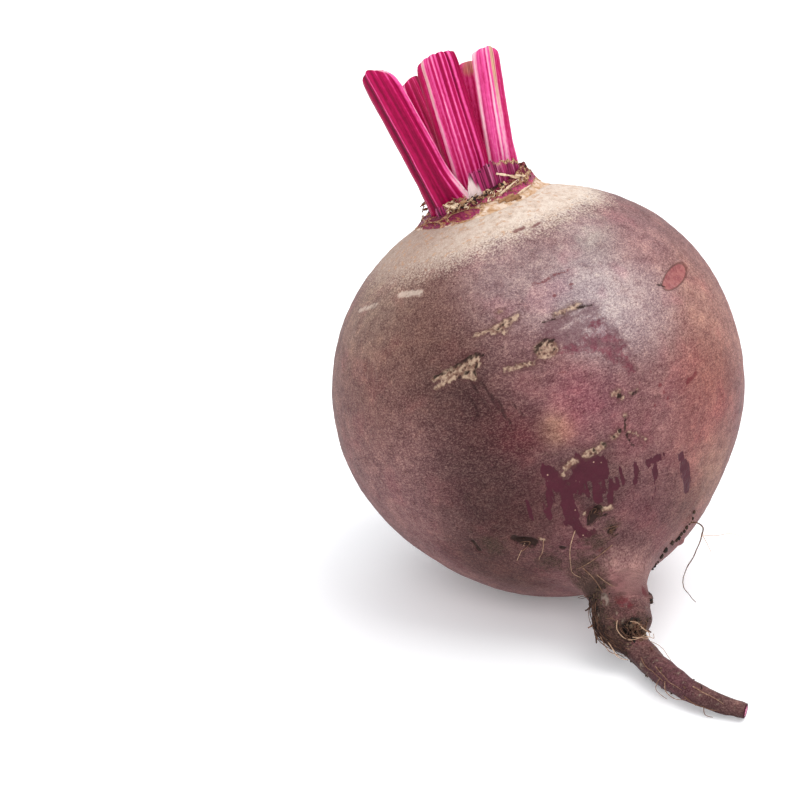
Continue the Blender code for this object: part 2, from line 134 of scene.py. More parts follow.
# Relief of the skin, the same that the solid has: angle down from the crown's axis and bearing
# round it in degrees (-90 is the front); half length, half width, height in mm; turn in degrees
MARKS = [
    (62.7, -108.0, 5.6, 2.4, -0.7, 12.0),
    (55.0, -95.0, 4.8, 1.6, -0.5, 8.0),
    (65.0, -83.5, 2.8, 2.6, -0.6, 0.0),
    (59.5, -73.0, 6.5, 1.2, -0.4, -4.0),
    (94.0, -71.8, 1.3, 4.0, -0.7, 8.0),
    (95.4, -78.0, 7.0, 1.6, 0.6, 14.0),
    (111.4, -86.3, 2.4, 1.8, -1.0, 10.0),
    (121.2, -82.4, 2.0, 1.4, 0.6, 0.0),
    (115.0, -107.0, 3.4, 1.8, -0.8, -12.0),
    (64.3, -32.0, 6.0, 1.9, -0.3, 0.0),
    (133.0, -50.0, 1.8, 1.5, 0.7, 0.0),
    (143.0, -48.5, 1.8, 1.5, 0.7, 0.0),
    (66.0, 24.0, 5.2, 1.8, -0.6, 6.0),
    (84.0, 71.0, 6.4, 1.7, 0.5, -10.0),
    (101.0, 128.0, 2.6, 2.2, -0.8, 0.0),
    (58.0, 118.0, 4.6, 1.5, -0.5, 5.0),
    (88.0, 172.0, 5.0, 1.8, -0.6, -8.0),
]
# Smooth oval scars with a thin edge, in the same terms
OVAL_SCARS = [(64.2, -31.9, 5.6, 1.75, 0.0, 4.0), (72.0, 96.0, 3.6, 1.3, 0.0, 16.0)]

# Lines on the skin: half their width in mm, then their places, each down and bearing in degrees
CORK = [
    (1.15, 64.4, -112.8, 63.6, -107.0), (1.5, 64.8, -106.6, 62.9, -103.8),
    (0.7, 65.8, -105.4, 66.8, -104.8), (0.55, 64.9, -116.9, 64.4, -112.8),
    (0.45, 67.1, -116.7, 66.4, -113.5, 65.7, -110.3), (0.4, 56.7, -101.9, 56.4, -96.6),
    (1.05, 56.6, -95.8, 56.0, -91.5), (0.6, 55.6, -91.0, 55.2, -88.0),
    (0.35, 57.8, -93.4, 58.4, -92.6), (0.35, 52.4, -93.3, 52.5, -91.8),
    (1.75, 65.5, -84.3, 65.6, -82.6), (0.5, 67.8, -87.7, 67.4, -91.7, 67.2, -95.7),
    (0.5, 58.3, -77.0, 58.2, -73.5), (0.55, 58.1, -72.4, 58.1, -69.2),
    (0.75, 82.6, -70.3, 83.0, -69.2), (0.5, 84.8, -68.6), (0.4, 84.6, -65.8), (0.3, 84.5, -63.6),
    (0.28, 93.9, -70.0, 95.6, -67.9, 98.3, -65.5), (0.55, 89.4, -69.4),
    (0.5, 93.3, -72.2, 93.6, -74.8), (0.75, 94.5, -77.8, 95.2, -81.2, 95.4, -83.0),
    (0.7, 96.6, -89.0, 95.9, -86.4), (0.5, 98.4, -90.4), (0.6, 111.5, -83.4, 112.6, -81.0),
    (0.5, 111.5, -88.4), (0.45, 114.2, -103.4, 115.4, -101.8), (1.1, 66.4, 22.0, 65.6, 27.5),
    (0.8, 58.2, 115.0, 57.7, 121.0), (1.0, 88.2, 168.5, 87.4, 176.0),
    (0.5, 74.0, 148.0, 73.2, 153.0), (1.2, 101.0, 126.6, 101.4, 129.4),
    (0.5, 92.0, 44.0, 92.8, 50.0),
]
CRACKS = [
    (0.3, 64.5, -116.9, 63.8, -113.5, 62.7, -109.7, 61.7, -105.8, 61.2, -102.7),
    (0.35, 61.2, -102.7, 62.2, -100.6), (0.22, 64.6, -38.4, 63.0, -41.4), (0.5, 65.2, -106.2),
    (0.45, 61.6, -104.6), (0.24, 63.2, -103.0, 64.6, -103.4, 66.2, -104.6),
    (0.2, 66.2, -109.6, 65.2, -107.6), (0.3, 56.8, -95.0, 56.0, -92.9), (0.38, 55.6, -90.8),
    (0.42, 65.3, -84.8), (0.32, 66.9, -82.4), (0.3, 64.4, -82.6), (0.28, 66.4, -86.0),
    (0.26, 65.9, -81.2), (0.3, 65.4, -86.8, 63.9, -85.2, 63.3, -82.6, 64.2, -80.4),
    (0.3, 58.5, -69.8, 59.0, -67.4), (0.22, 59.0, -67.0, 59.5, -65.6),
    (0.16, 58.7, -81.7, 58.9, -77.5), (0.55, 83.9, -69.1), (0.22, 85.0, -65.4, 85.0, -63.6),
    (0.2, 89.7, -69.2, 91.6, -70.2, 93.6, -70.4, 96.3, -70.4, 98.4, -69.6), (0.45, 93.1, -71.8),
    (0.35, 93.4, -74.2), (0.5, 94.4, -77.4), (0.4, 95.0, -80.6),
    (0.75, 113.9, -87.6, 112.9, -85.8), (0.5, 112.4, -85.4, 111.2, -83.6), (0.4, 114.9, -88.4),
    (0.3, 113.6, -84.4, 114.2, -82.6), (0.5, 119.5, -83.1, 119.2, -81.9), (0.35, 118.4, -82.2),
    (0.85, 112.8, -110.0, 115.2, -107.6, 116.0, -105.4), (0.38, 111.6, -123.2, 115.6, -123.3),
    (0.42, 119.7, -98.4, 120.4, -97.4), (0.35, 66.4, 23.0, 65.8, 26.0),
    (0.3, 57.8, 117.0, 57.6, 120.0), (0.35, 87.4, 170.0, 87.2, 174.0), (0.6, 101.2, 127.6),
    (0.2, 79.0, 60.0, 80.4, 66.0, 80.0, 70.0),
]
RED_LINES = [
    (0.26, 47.9, -79.5, 48.4, -76.6, 48.3, -73.9, 47.6, -70.0, 48.2, -64.9),
    (0.48, 29.0, -73.4, 28.8, -67.4), (0.34, 30.1, -63.6, 29.7, -58.0),
    (0.55, 89.8, -47.0, 89.2, -46.0), (0.45, 89.4, -44.8, 88.8, -42.6), (0.5, 86.3, -56.5),
    (0.4, 88.6, -56.0), (0.4, 90.6, -55.3), (0.3, 81.8, -58.2), (0.3, 83.2, -62.2),
    (0.3, 90.6, -60.0), (0.35, 95.9, -43.6), (0.4, 52.0, -67.5), (0.36, 53.0, -68.3),
    (0.4, 53.3, -74.6), (0.26, 45.9, -104.6), (0.22, 45.4, -98.1), (0.4, 66.1, -20.6),
    (0.3, 63.6, -20.8), (0.3, 68.4, -35.2), (0.35, 106.0, -16.1), (0.3, 57.6, -21.0),
    (0.12, 72.2, -82.4, 78.0, -64.0), (0.2, 123.9, -88.7, 123.3, -86.6),
    (0.25, 70.0, 40.0, 69.0, 46.0), (0.45, 95.0, 90.0), (0.25, 48.0, 60.0, 47.6, 66.0),
    (0.35, 77.0, 120.0), (0.35, 105.0, 165.0, 104.0, 169.0),
]
PLUM = [
    (1.3, 95.6, -94.2, 99.4, -92.1), (1.5, 100.0, -93.4, 102.9, -89.6),
    (0.7, 101.8, -95.7, 108.6, -97.7), (1.5, 102.9, -91.0, 111.8, -92.6),
    (1.0, 111.9, -92.0, 116.5, -90.8), (0.8, 117.4, -91.0, 118.0, -88.4),
    (1.9, 97.1, -85.4, 99.0, -80.7), (1.5, 100.5, -86.8, 102.6, -80.3),
    (0.7, 102.9, -87.0, 105.0, -87.5), (0.8, 104.0, -82.9, 108.7, -83.9),
    (0.5, 103.0, -85.2, 106.0, -85.6), (0.5, 103.6, -80.6, 107.0, -81.0),
    (0.6, 104.9, -78.5, 111.1, -80.7), (0.5, 105.1, -76.7, 107.6, -77.3),
    (0.4, 103.1, -75.3, 107.4, -75.6), (0.5, 103.8, -70.7, 108.6, -71.5),
    (0.9, 104.9, -66.4, 105.0, -62.6), (0.6, 106.4, -64.8, 110.2, -65.4),
    (0.25, 110.2, -65.4, 116.0, -67.1), (0.8, 108.5, -55.0, 112.0, -54.4),
    (1.2, 111.5, -54.1, 120.0, -53.0), (0.45, 102.9, -101.8, 107.8, -102.8),
    (1.6, 98.0, 150.0, 104.0, 152.0, 110.0, 151.0), (0.8, 100.0, 156.0, 108.0, 158.0),
    (1.2, 106.0, 60.0, 112.0, 62.0), (0.6, 104.0, 66.0, 109.0, 67.0),
]
CRIMSON = [
    (0.7, 67.3, -80.6, 67.9, -75.8, 69.1, -71.1), (1.7, 68.4, -71.1, 70.0, -66.6, 71.8, -64.6),
    (1.2, 71.4, -68.4, 74.0, -66.6), (1.0, 72.4, -65.0, 76.0, -64.0, 79.0, -63.4),
    (0.7, 64.8, -69.0, 64.2, -66.0), (0.8, 80.0, 110.0, 81.0, 113.0),
    (0.5, 81.2, 113.4, 83.0, 117.0, 84.0, 121.0), (0.4, 79.0, 112.0, 78.4, 117.0),
]
BRUISE = [
    (1.2, 60.0, -80.0, 60.4, -73.0, 61.0, -66.0), (0.9, 63.0, -79.0, 63.4, -71.0, 64.6, -64.6),
    (1.0, 62.4, -81.4, 65.9, -79.4, 67.4, -76.0), (1.7, 64.6, -79.6, 65.2, -74.0),
    (0.9, 66.5, -64.6, 70.6, -62.4, 76.4, -61.8), (2.2, 74.0, 140.0, 78.0, 146.0),
]
PALE = [
    (0.75, 40.2, -133.8, 40.3, -127.7, 40.7, -122.4),
    (0.55, 44.8, -161.5, 43.5, -154.9, 42.5, -148.0), (0.6, 50.0, 30.0, 49.6, 38.0),
    (0.7, 44.0, 96.0, 44.6, 103.0),
]
WRINKLES = [
    (0.2, 66.4, -104.3, 70.7, -102.2, 75.8, -101.0, 80.5, -98.8),
    (0.15, 69.1, -108.7, 74.4, -106.6, 76.8, -107.0),
    (0.16, 71.9, -101.7, 74.4, -100.0, 78.0, -99.6), (0.12, 75.3, -97.0, 79.8, -94.9),
    (0.15, 67.4, -106.1, 72.3, -104.2, 76.3, -103.2), (0.16, 84.0, 20.0, 88.0, 23.0, 92.0, 24.0),
    (0.12, 83.0, 24.0, 87.0, 27.0, 91.0, 28.4),
]

# Where the pale ring round the crown ends: bearing, angle down, in degrees
RING_EDGE = [
    (-180.0, 35.0), (-162.0, 36.0), (-140.0, 36.0), (-122.0, 34.5), (-104.0, 33.5),
    (-83.0, 31.5), (-63.0, 31.5), (-43.0, 33.0), (-31.0, 34.0), (-18.0, 37.0),
    (10.0, 34.0), (50.0, 37.0), (90.0, 33.0), (130.0, 34.0), (160.0, 36.0), (180.0, 35.0),
]

# Soft areas of skin colour: down, bearing and spread in degrees, weight, and a colour 0 to 255.
# Besides the skin's own tones they hold painted shade, darker on the left and low down, and
# painted highlights: a pale sheen high on the front right and a pale rim low on the right.
SKIN_TONES_AND_SHADING = [
    (40.0, -150.0, 15.0, 1.2, (150, 131, 114)),
    (52.0, -122.0, 14.0, 1.3, (103, 71, 60)),
    (60.0, -142.0, 18.0, 1.2, (106, 72, 64)),
    (66.0, -112.0, 11.0, 1.4, (28, 8, 9)),
    (80.0, -106.0, 11.0, 1.5, (51, 6, 11)),
    (98.0, -112.0, 13.0, 1.8, (30, 6, 7)),
    (112.0, -108.0, 11.0, 1.4, (52, 22, 15)),
    (124.0, -100.0, 10.0, 1.2, (111, 70, 76)),
    (44.0, -84.0, 11.0, 1.4, (155, 133, 132)),
    (58.0, -62.0, 11.0, 1.8, (173, 161, 162)),
    (64.0, -48.0, 9.0, 1.4, (167, 144, 143)),
    (50.0, -34.0, 9.0, 1.5, (156, 117, 117)),
    (42.0, -46.0, 7.0, 1.2, (171, 165, 158)),
    (76.0, -28.0, 12.0, 1.6, (167, 123, 110)),
    (90.0, -34.0, 11.0, 1.6, (134, 77, 67)),
    (104.0, -42.0, 12.0, 1.4, (143, 84, 80)),
    (73.0, -90.0, 8.0, 1.4, (108, 74, 75)),
    (79.0, -81.0, 6.0, 2.0, (134, 75, 85)),
    (84.0, -73.0, 6.0, 1.6, (113, 67, 76)),
    (84.0, -98.0, 6.0, 1.6, (81, 20, 32)),
    (85.5, -88.0, 3.6, 1.5, (154, 113, 91)),
    (92.0, -64.0, 8.0, 1.2, (122, 80, 82)),
    (104.0, -84.0, 9.0, 1.2, (40, 18, 19)),
    (102.0, -100.0, 8.0, 1.2, (70, 29, 35)),
    (118.0, -66.0, 10.0, 1.8, (90, 54, 59)),
    (128.0, -84.0, 9.0, 1.2, (52, 28, 31)),
    (128.0, -118.0, 8.0, 1.4, (56, 25, 17)),
    (118.0, -127.0, 9.0, 1.4, (50, 19, 16)),
    (124.4, -50.0, 6.0, 2.4, (70, 34, 40)),
    (121.0, -42.0, 11.0, 1.4, (157, 120, 103)),
    (88.0, -10.0, 10.0, 1.4, (156, 111, 102)),
    (80.0, 20.0, 22.0, 1.2, (152, 104, 98)),
    (60.0, 60.0, 20.0, 1.2, (156, 124, 122)),
    (84.0, 80.0, 18.0, 1.2, (136, 86, 90)),
    (66.0, 120.0, 22.0, 1.2, (138, 104, 100)),
    (60.0, 170.0, 22.0, 1.2, (122, 88, 80)),
    (100.0, 150.0, 30.0, 1.6, (80, 50, 50)),
    (120.0, 60.0, 24.0, 1.2, (104, 70, 70)),
]
SKIN_BASE = (124, 88, 88)
SKIN_BASE_WEIGHT = 0.55


def linear(colour):
    """A colour given 0 to 255 as the screen shows it, in linear light."""
    shares = [c / 255 for c in colour]
    return tuple(c / 12.92 if c <= 0.04045 else ((c + 0.055) / 1.055) ** 2.4 for c in shares)


# Shaping

def unit(vectors):
    """Vectors of length one."""
    return vectors / np.linalg.norm(vectors, axis=-1, keepdims=True)


def lumps(places, size, shift=0.0):
    """Smooth noise between -1 and 1 at each place, with lumps of about the given size."""
    return np.array([noise.noise(p) for p in (places / size + shift).tolist()])


def smooth(low, high, values):
    """0 at low, 1 at high, with a smooth rise between them."""
    t = np.clip((values - low) / (high - low), 0.0, 1.0)
    return t * t * (3 - 2 * t)


def across_axis(axis):
    """Two vectors across an axis, the first towards the right."""
    right = unit(np.array((1.0, 0.0, 0.0)) - axis * axis[0])
    return right, np.cross(axis, right)


def curve_through(points, steps):
    """Points of a smooth curve through the given ones, whatever their spacing."""
    points = [np.array(p, float) for p in points]
    spans = [np.linalg.norm(b - a) for a, b in zip(points, points[1:])]
    speeds = [(b - a) / span for a, b, span in zip(points, points[1:], spans)]
    slopes = [
        (v * e + w * d) / (d + e)
        for v, w, d, e in zip(speeds, speeds[1:], spans, spans[1:])
    ]
    if not slopes:
        slopes = [speeds[0]]
    slopes = [speeds[0] * 1.5 - slopes[0] * 0.5] + slopes[:len(points) - 2]
    slopes.append(speeds[-1] * 1.5 - slopes[-1] * 0.5)
    found = []
    for i, span in enumerate(spans):
        for k in range(steps):
            t = k / steps
            found.append(
                points[i] * (1 + 2 * t) * (1 - t) ** 2 + points[i + 1] * t * t * (3 - 2 * t)
                + (slopes[i] * (1 - t) - slopes[i + 1] * t) * t * (1 - t) * span
            )
    found.append(points[-1])
    return np.array(found)


class Path:
    """A curve with a frame carried along it without twist."""

    def __init__(self, points, steps, side):
        self.points = curve_through(points, steps)
        spans = np.linalg.norm(np.diff(self.points, axis=0), axis=1)
        self.reach = np.concatenate(([0.0], np.cumsum(spans)))
        self.frames = []
        across = side
        for i in range(len(self.points)):
            ahead = self.points[min(i + 1, len(self.points) - 1)]
            along = unit(ahead - self.points[max(i - 1, 0)])
            across = unit(across - along * (across @ along))
            self.frames.append((across, np.cross(along, across)))

    def at(self, distance):
        """Place and the two vectors across the path at a distance from its start."""
        i = int(np.searchsorted(self.reach[1:-1], distance))
        t = (distance - self.reach[i]) / (self.reach[i + 1] - self.reach[i])
        here, there = self.frames[i], self.frames[i + 1]
        vectors = [unit(a * (1 - t) + b * t) for a, b in zip(here, there)]
        return self.points[i] * (1 - t) + self.points[i + 1] * t, *vectors


def taproot():
    """The line that the neck and the taproot follow, and where the neck ends on it."""
    path = Path([BULB_CENTRE + p for p in TAPROOT_PATH], PATH_STEPS, across_axis(TAIL_AXIS)[0])
    return path, path.reach[PATH_STEPS]


def taproot_radius(distance, length):
    """Radius of the taproot at a distance below the neck's end."""
    t = np.clip((distance - STEP_START) / STEP_DOWN, 0.0, 1.0)
    shoulder = (NECK_RADIUS - TAPROOT_RADIUS) * (1 - t * t * (3 - 2 * t))
    return shoulder + TAPROOT_RADIUS + (TIP_RADIUS - TAPROOT_RADIUS) * (distance / length) ** 1.8


def skin_place(down, bearing, reach=BULB_RADIUS):
    """A place about the bulb's centre from its angle down the crown's axis and its bearing."""
    down, bearing = math.radians(down), math.radians(bearing)
    right, back = across_axis(CROWN_AXIS)
    out = right * math.cos(bearing) + back * math.sin(bearing)
    return (CROWN_AXIS * math.cos(down) + out * math.sin(down)) * reach


def degrees_between(ways, way):
    """Angles in degrees between some directions and one."""
    return np.degrees(np.arccos(np.clip(ways @ way, -1.0, 1.0)))


def mark_offset(ways, mark):
    """Where directions lie in a mark, as shares of its half length and half width."""
    down, bearing, length, width, _, turn = mark
    middle = skin_place(down, bearing, 1.0)
    east = unit(np.cross(CROWN_AXIS, middle))
    north = np.cross(middle, east)
    away = (ways - middle) * (BULB_RADIUS / MM)
    x, y = away @ east, away @ north
    turn = math.radians(turn)
    along = x * math.cos(turn) + y * math.sin(turn)
    beside = y * math.cos(turn) - x * math.sin(turn)
    reach = np.hypot(along / length, beside / width)
    return np.where(ways @ middle > 0.7, reach, 9.0)


def mark_height(ways):
    """How far all marks lift or sink the skin, each sunk one with a low corky rim."""
    total = np.zeros(len(ways))
    for mark in MARKS:
        reach = mark_offset(ways, mark)
        height = mark[4] * MM
        total += np.where(reach < 2.0, height * np.exp(-2.6 * reach * reach), 0.0)
        if height < 0:
            total -= 0.4 * height * np.exp(-(((reach - 1.05) / 0.3) ** 2))
    return total


def bulb_reach(ways, angle, bearing):
    """Distance from the bulb's centre to its surface, at an angle from the tail's axis."""
    crown = np.maximum(ways @ CROWN_AXIS, 0.0)
    reach = BULB_RADIUS - CROWN_FLATTENING * crown ** 4
    waist = np.exp(-(((angle - WAIST_ANGLE) / WAIST_SPREAD) ** 2))
    reach -= WAIST * waist * (0.55 + 0.45 * np.cos(bearing - WAIST_BEARING))
    slope = np.exp(-(((angle - SLOPE_ANGLE) / SLOPE_SPREAD) ** 2))
    reach -= RIGHT_SLOPE * slope * np.maximum(np.cos(bearing), 0.0)
    reach -= UNDER_SLOPE * slope * np.maximum(np.cos(bearing - UNDER_BEARING), 0.0)
    reach += lumps(ways * BULB_RADIUS, LUMP_SIZE, np.array((SEED, 0.0, 0.0))) * LUMP_HEIGHT
    flare = FLARE_LEFT + (FLARE_RIGHT - FLARE_LEFT) * (0.5 + 0.5 * np.cos(bearing))
    return reach + NECK_LIFT * np.exp((NECK_ANGLE - angle) / flare)


def inside_lines(places, lines):
    """How far in mm each place lies inside the nearest of some lines on the skin, down to -3."""
    best = np.full(len(places), -3.0)
    for width, *numbers in lines:
        line = [skin_place(*p) for p in zip(numbers[::2], numbers[1::2])]
        if len(line) == 1:
            line = line * 2
        for a, b in zip(line, line[1:]):
            ab = b - a
            t = np.clip((places - a) @ ab / max(ab @ ab, 1e-12), 0.0, 1.0)
            far = np.linalg.norm(places - a - t[:, None] * ab, axis=1)
            best = np.maximum(best, width - far / MM)
    return best


def turns_round(sides):
    """Angles evenly round a circle."""
    return np.arange(sides) * math.tau / sides


def ring_numbers(sides, count, first=0):
    """The vertex numbers of some rings of equal length."""
    return [np.arange(sides) + first + sides * k for k in range(count)]


def join_rings(rings):
    """Faces between neighbouring rings of vertex numbers, one of which may have twice as many."""
    faces = []
    for a, b in zip(rings, rings[1:]):
        m, n = len(a), len(b)
        if m == n:
            faces += [(a[k], a[(k + 1) % n], b[(k + 1) % n], b[k]) for k in range(n)]
        elif m == 2 * n:
            for k in range(n):
                i, j, l = a[2 * k], a[2 * k + 1], a[(2 * k + 2) % m]
                p, q = b[k], b[(k + 1) % n]
                faces += [(i, j, p), (j, q, p), (j, l, q)]
        else:
            for k in range(m):
                i, j, l = b[2 * k], b[2 * k + 1], b[(2 * k + 2) % n]
                p, q = a[k], a[(k + 1) % m]
                faces += [(p, j, i), (p, q, j), (q, l, j)]
    return faces


def fan(centre, ring):
    """Faces from one vertex to a ring."""
    return [(centre, ring[(k + 1) % len(ring)], ring[k]) for k in range(len(ring))]


def tube(rings, first, last):
    """Faces of a body made of rings, closed by one vertex before them and one after."""
    return join_rings(rings) + fan(first, rings[0]) + [f[::-1] for f in fan(last, rings[-1])]


def facing_out(places, faces):
    """The faces, turned over if they enclose less than nothing."""
    volume = 0.0
    for size in (3, 4):
        some = np.array([f for f in faces if len(f) == size])
        if len(some):
            for i in range(1, size - 1):
                a, b, c = places[some[:, 0]], places[some[:, i]], places[some[:, i + 1]]
                volume += np.einsum("ij,ij->", a, np.cross(b, c))
    return faces if volume > 0 else [f[::-1] for f in faces]


class Piece:
    """Vertices, faces and per-vertex values of one piece while it is being made."""

    def __init__(self):
        self.places = np.zeros((0, 3))
        self.faces = []
        self.values = {}

    def add(self, places, faces, **values):
        """Join a closed body, with its values, to the piece."""
        base = len(self.places)
        places = np.array(places)
        faces = facing_out(places - places.mean(axis=0), faces)
        self.places = np.vstack((self.places, places))
        self.faces += [tuple(int(i) + base for i in face) for face in faces]
        for name, value in values.items():
            value = np.array(value, float)
            if value.ndim == 0:
                value = np.full(len(places), float(value))
            shape = (base,) + value.shape[1:]
            before = self.values.get(name, np.zeros(shape))
            self.values[name] = np.concatenate((before, value))

    def finish(self, name, material, slot, *nodes):
        """The piece as an object that rides on the root and stands for the given solids."""
        mesh = bpy.data.meshes.new(name)
        mesh.from_pydata(self.places.tolist(), [], self.faces)
        for key, value in self.values.items():
            if value.ndim == 1:
                layer = mesh.attributes.new(key, "FLOAT", "POINT")
                layer.data.foreach_set("value", value.astype(np.float32))
            else:
                layer = mesh.attributes.new(key, "FLOAT_VECTOR", "POINT")
                layer.data.foreach_set("vector", value.astype(np.float32).ravel())
        mesh.shade_smooth()
        mesh.materials.append(material)
        made = bpy.data.objects.new(name, mesh)
        bpy.context.scene.collection.objects.link(made)
        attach(made, "root")
        if nodes:
            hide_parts(*nodes)
        return made


# Materials

class Value:
    """A node's output that plain arithmetic works on; each operation adds a Math node."""

    def __init__(self, look, socket):
        self.look = look
        self.socket = socket

    def math(self, operation, *others):
        """What a Math node makes of this value and the others."""
        sockets = dict(enumerate((self, *others)))
        return self.look.node("ShaderNodeMath", {"operation": operation}, sockets)

    def __add__(self, other):
        return self.math("ADD", other)

    __radd__ = __add__

    def __mul__(self, other):
        return self.math("MULTIPLY", other)

    __rmul__ = __mul__

    def __sub__(self, other):
        return self.math("SUBTRACT", other)

    def __rsub__(self, other):
        return self.look.node("ShaderNodeMath", {"operation": "SUBTRACT"}, {0: other, 1: self})

    def most(self, other):
        """The larger of two values."""
        return self.math("MAXIMUM", other)

    def between(self, low, high):
        """0 below low, 1 above high, with a smooth rise between them."""
        settings = {"interpolation_type": "SMOOTHSTEP"}
        return self.look.node("ShaderNodeMapRange", settings, {
            "Value": self, "From Min": low, "From Max": high, "To Min": 0.0, "To Max": 1.0,
        })

    def scaled(self, x, y, z):
        """A vector or colour with its parts multiplied."""
        settings = {"operation": "MULTIPLY"}
        return self.look.node("ShaderNodeVectorMath", settings, {0: self, 1: (x, y, z)})

    def coat(self, share, colour):
        """This colour under a share of another, given 0 to 255."""
        return self.look.mix(share, self, linear(colour))

    def tinged(self, share, red, green, blue):
        """This colour, a share of it with its parts multiplied."""
        return self.look.mix(share, self, self.scaled(red, green, blue))


class Look:
    """A material under construction."""

    def __init__(self, name, constants):
        self.material = bpy.data.materials.new(name)
        self.material.use_nodes = True
        self.tree = self.material.node_tree
        self.shader = self.tree.nodes["Principled BSDF"]
        for socket, value in constants.items():
            self.feed(self.shader.inputs[socket], value)

    def feed(self, socket, value):
        """Link a value to a socket, or set the socket to a number or colour."""
        if isinstance(value, Value):
            self.tree.links.new(value.socket, socket)
        elif socket.type == "RGBA":
            socket.default_value = (*value, 1.0)
        else:
            socket.default_value = value

    def node(self, kind, settings, sockets, output=0):
        """A node with its settings, then its sockets, and one of its outputs."""
        made = self.tree.nodes.new(kind)
        for name, value in settings.items():
            setattr(made, name, value)
        for name, value in sockets.items():
            self.feed(made.inputs[name], value)
        return Value(self, made.outputs[output])

    def place(self):
        """The place on the piece, in metres."""
        return self.node("ShaderNodeTexCoord", {}, {}, "Object")

    def number(self, name):
        """A number that the mesh carries at each point."""
        return self.node("ShaderNodeAttribute", {"attribute_name": name}, {}, "Fac")

    def vector(self, name):
        """A vector that the mesh carries at each point."""
        return self.node("ShaderNodeAttribute", {"attribute_name": name}, {}, "Vector")

    def grain(self, size, detail=2.0, at=None, rough=0.5):
        """Noise from 0 to 1 with grains of about a size in mm."""
        return self.node("ShaderNodeTexNoise", {}, {
            "Vector": at or self.place(), "Scale": 1.0 / (size * MM), "Detail": detail,
            "Roughness": rough,
        })

    def cells(self, size, at=None):
        """Distance from scattered points, 0 at a point, with cells of about a size in mm."""
        return self.node("ShaderNodeTexVoronoi", {}, {
            "Vector": at or self.place(), "Scale": 1.0 / (size * MM),
        })

    def mix(self, share, a, b, way="MIX"):
        """Two colours mixed by a share."""
        settings = {"data_type": "RGBA", "blend_type": way}
        return self.node("ShaderNodeMix", settings, {0: share, 6: a, 7: b}, 2)

    def tones(self, share, a, b):
        """Two colours given 0 to 255, mixed by a share."""
        return self.mix(share, linear(a), linear(b))

    def bump(self, height, distance, below=None):
        """A normal from a height, with its full depth in mm, over another normal."""
        sockets = {"Height": height, "Distance": distance * MM, "Strength": 1.0}
        if below is not None:
            sockets["Normal"] = below
        return self.node("ShaderNodeBump", {}, sockets)

    def set(self, **sockets):
        """Feed the shader's sockets."""
        for name, value in sockets.items():
            self.feed(self.shader.inputs[name.replace("_", " ").title()], value)
        return self.material


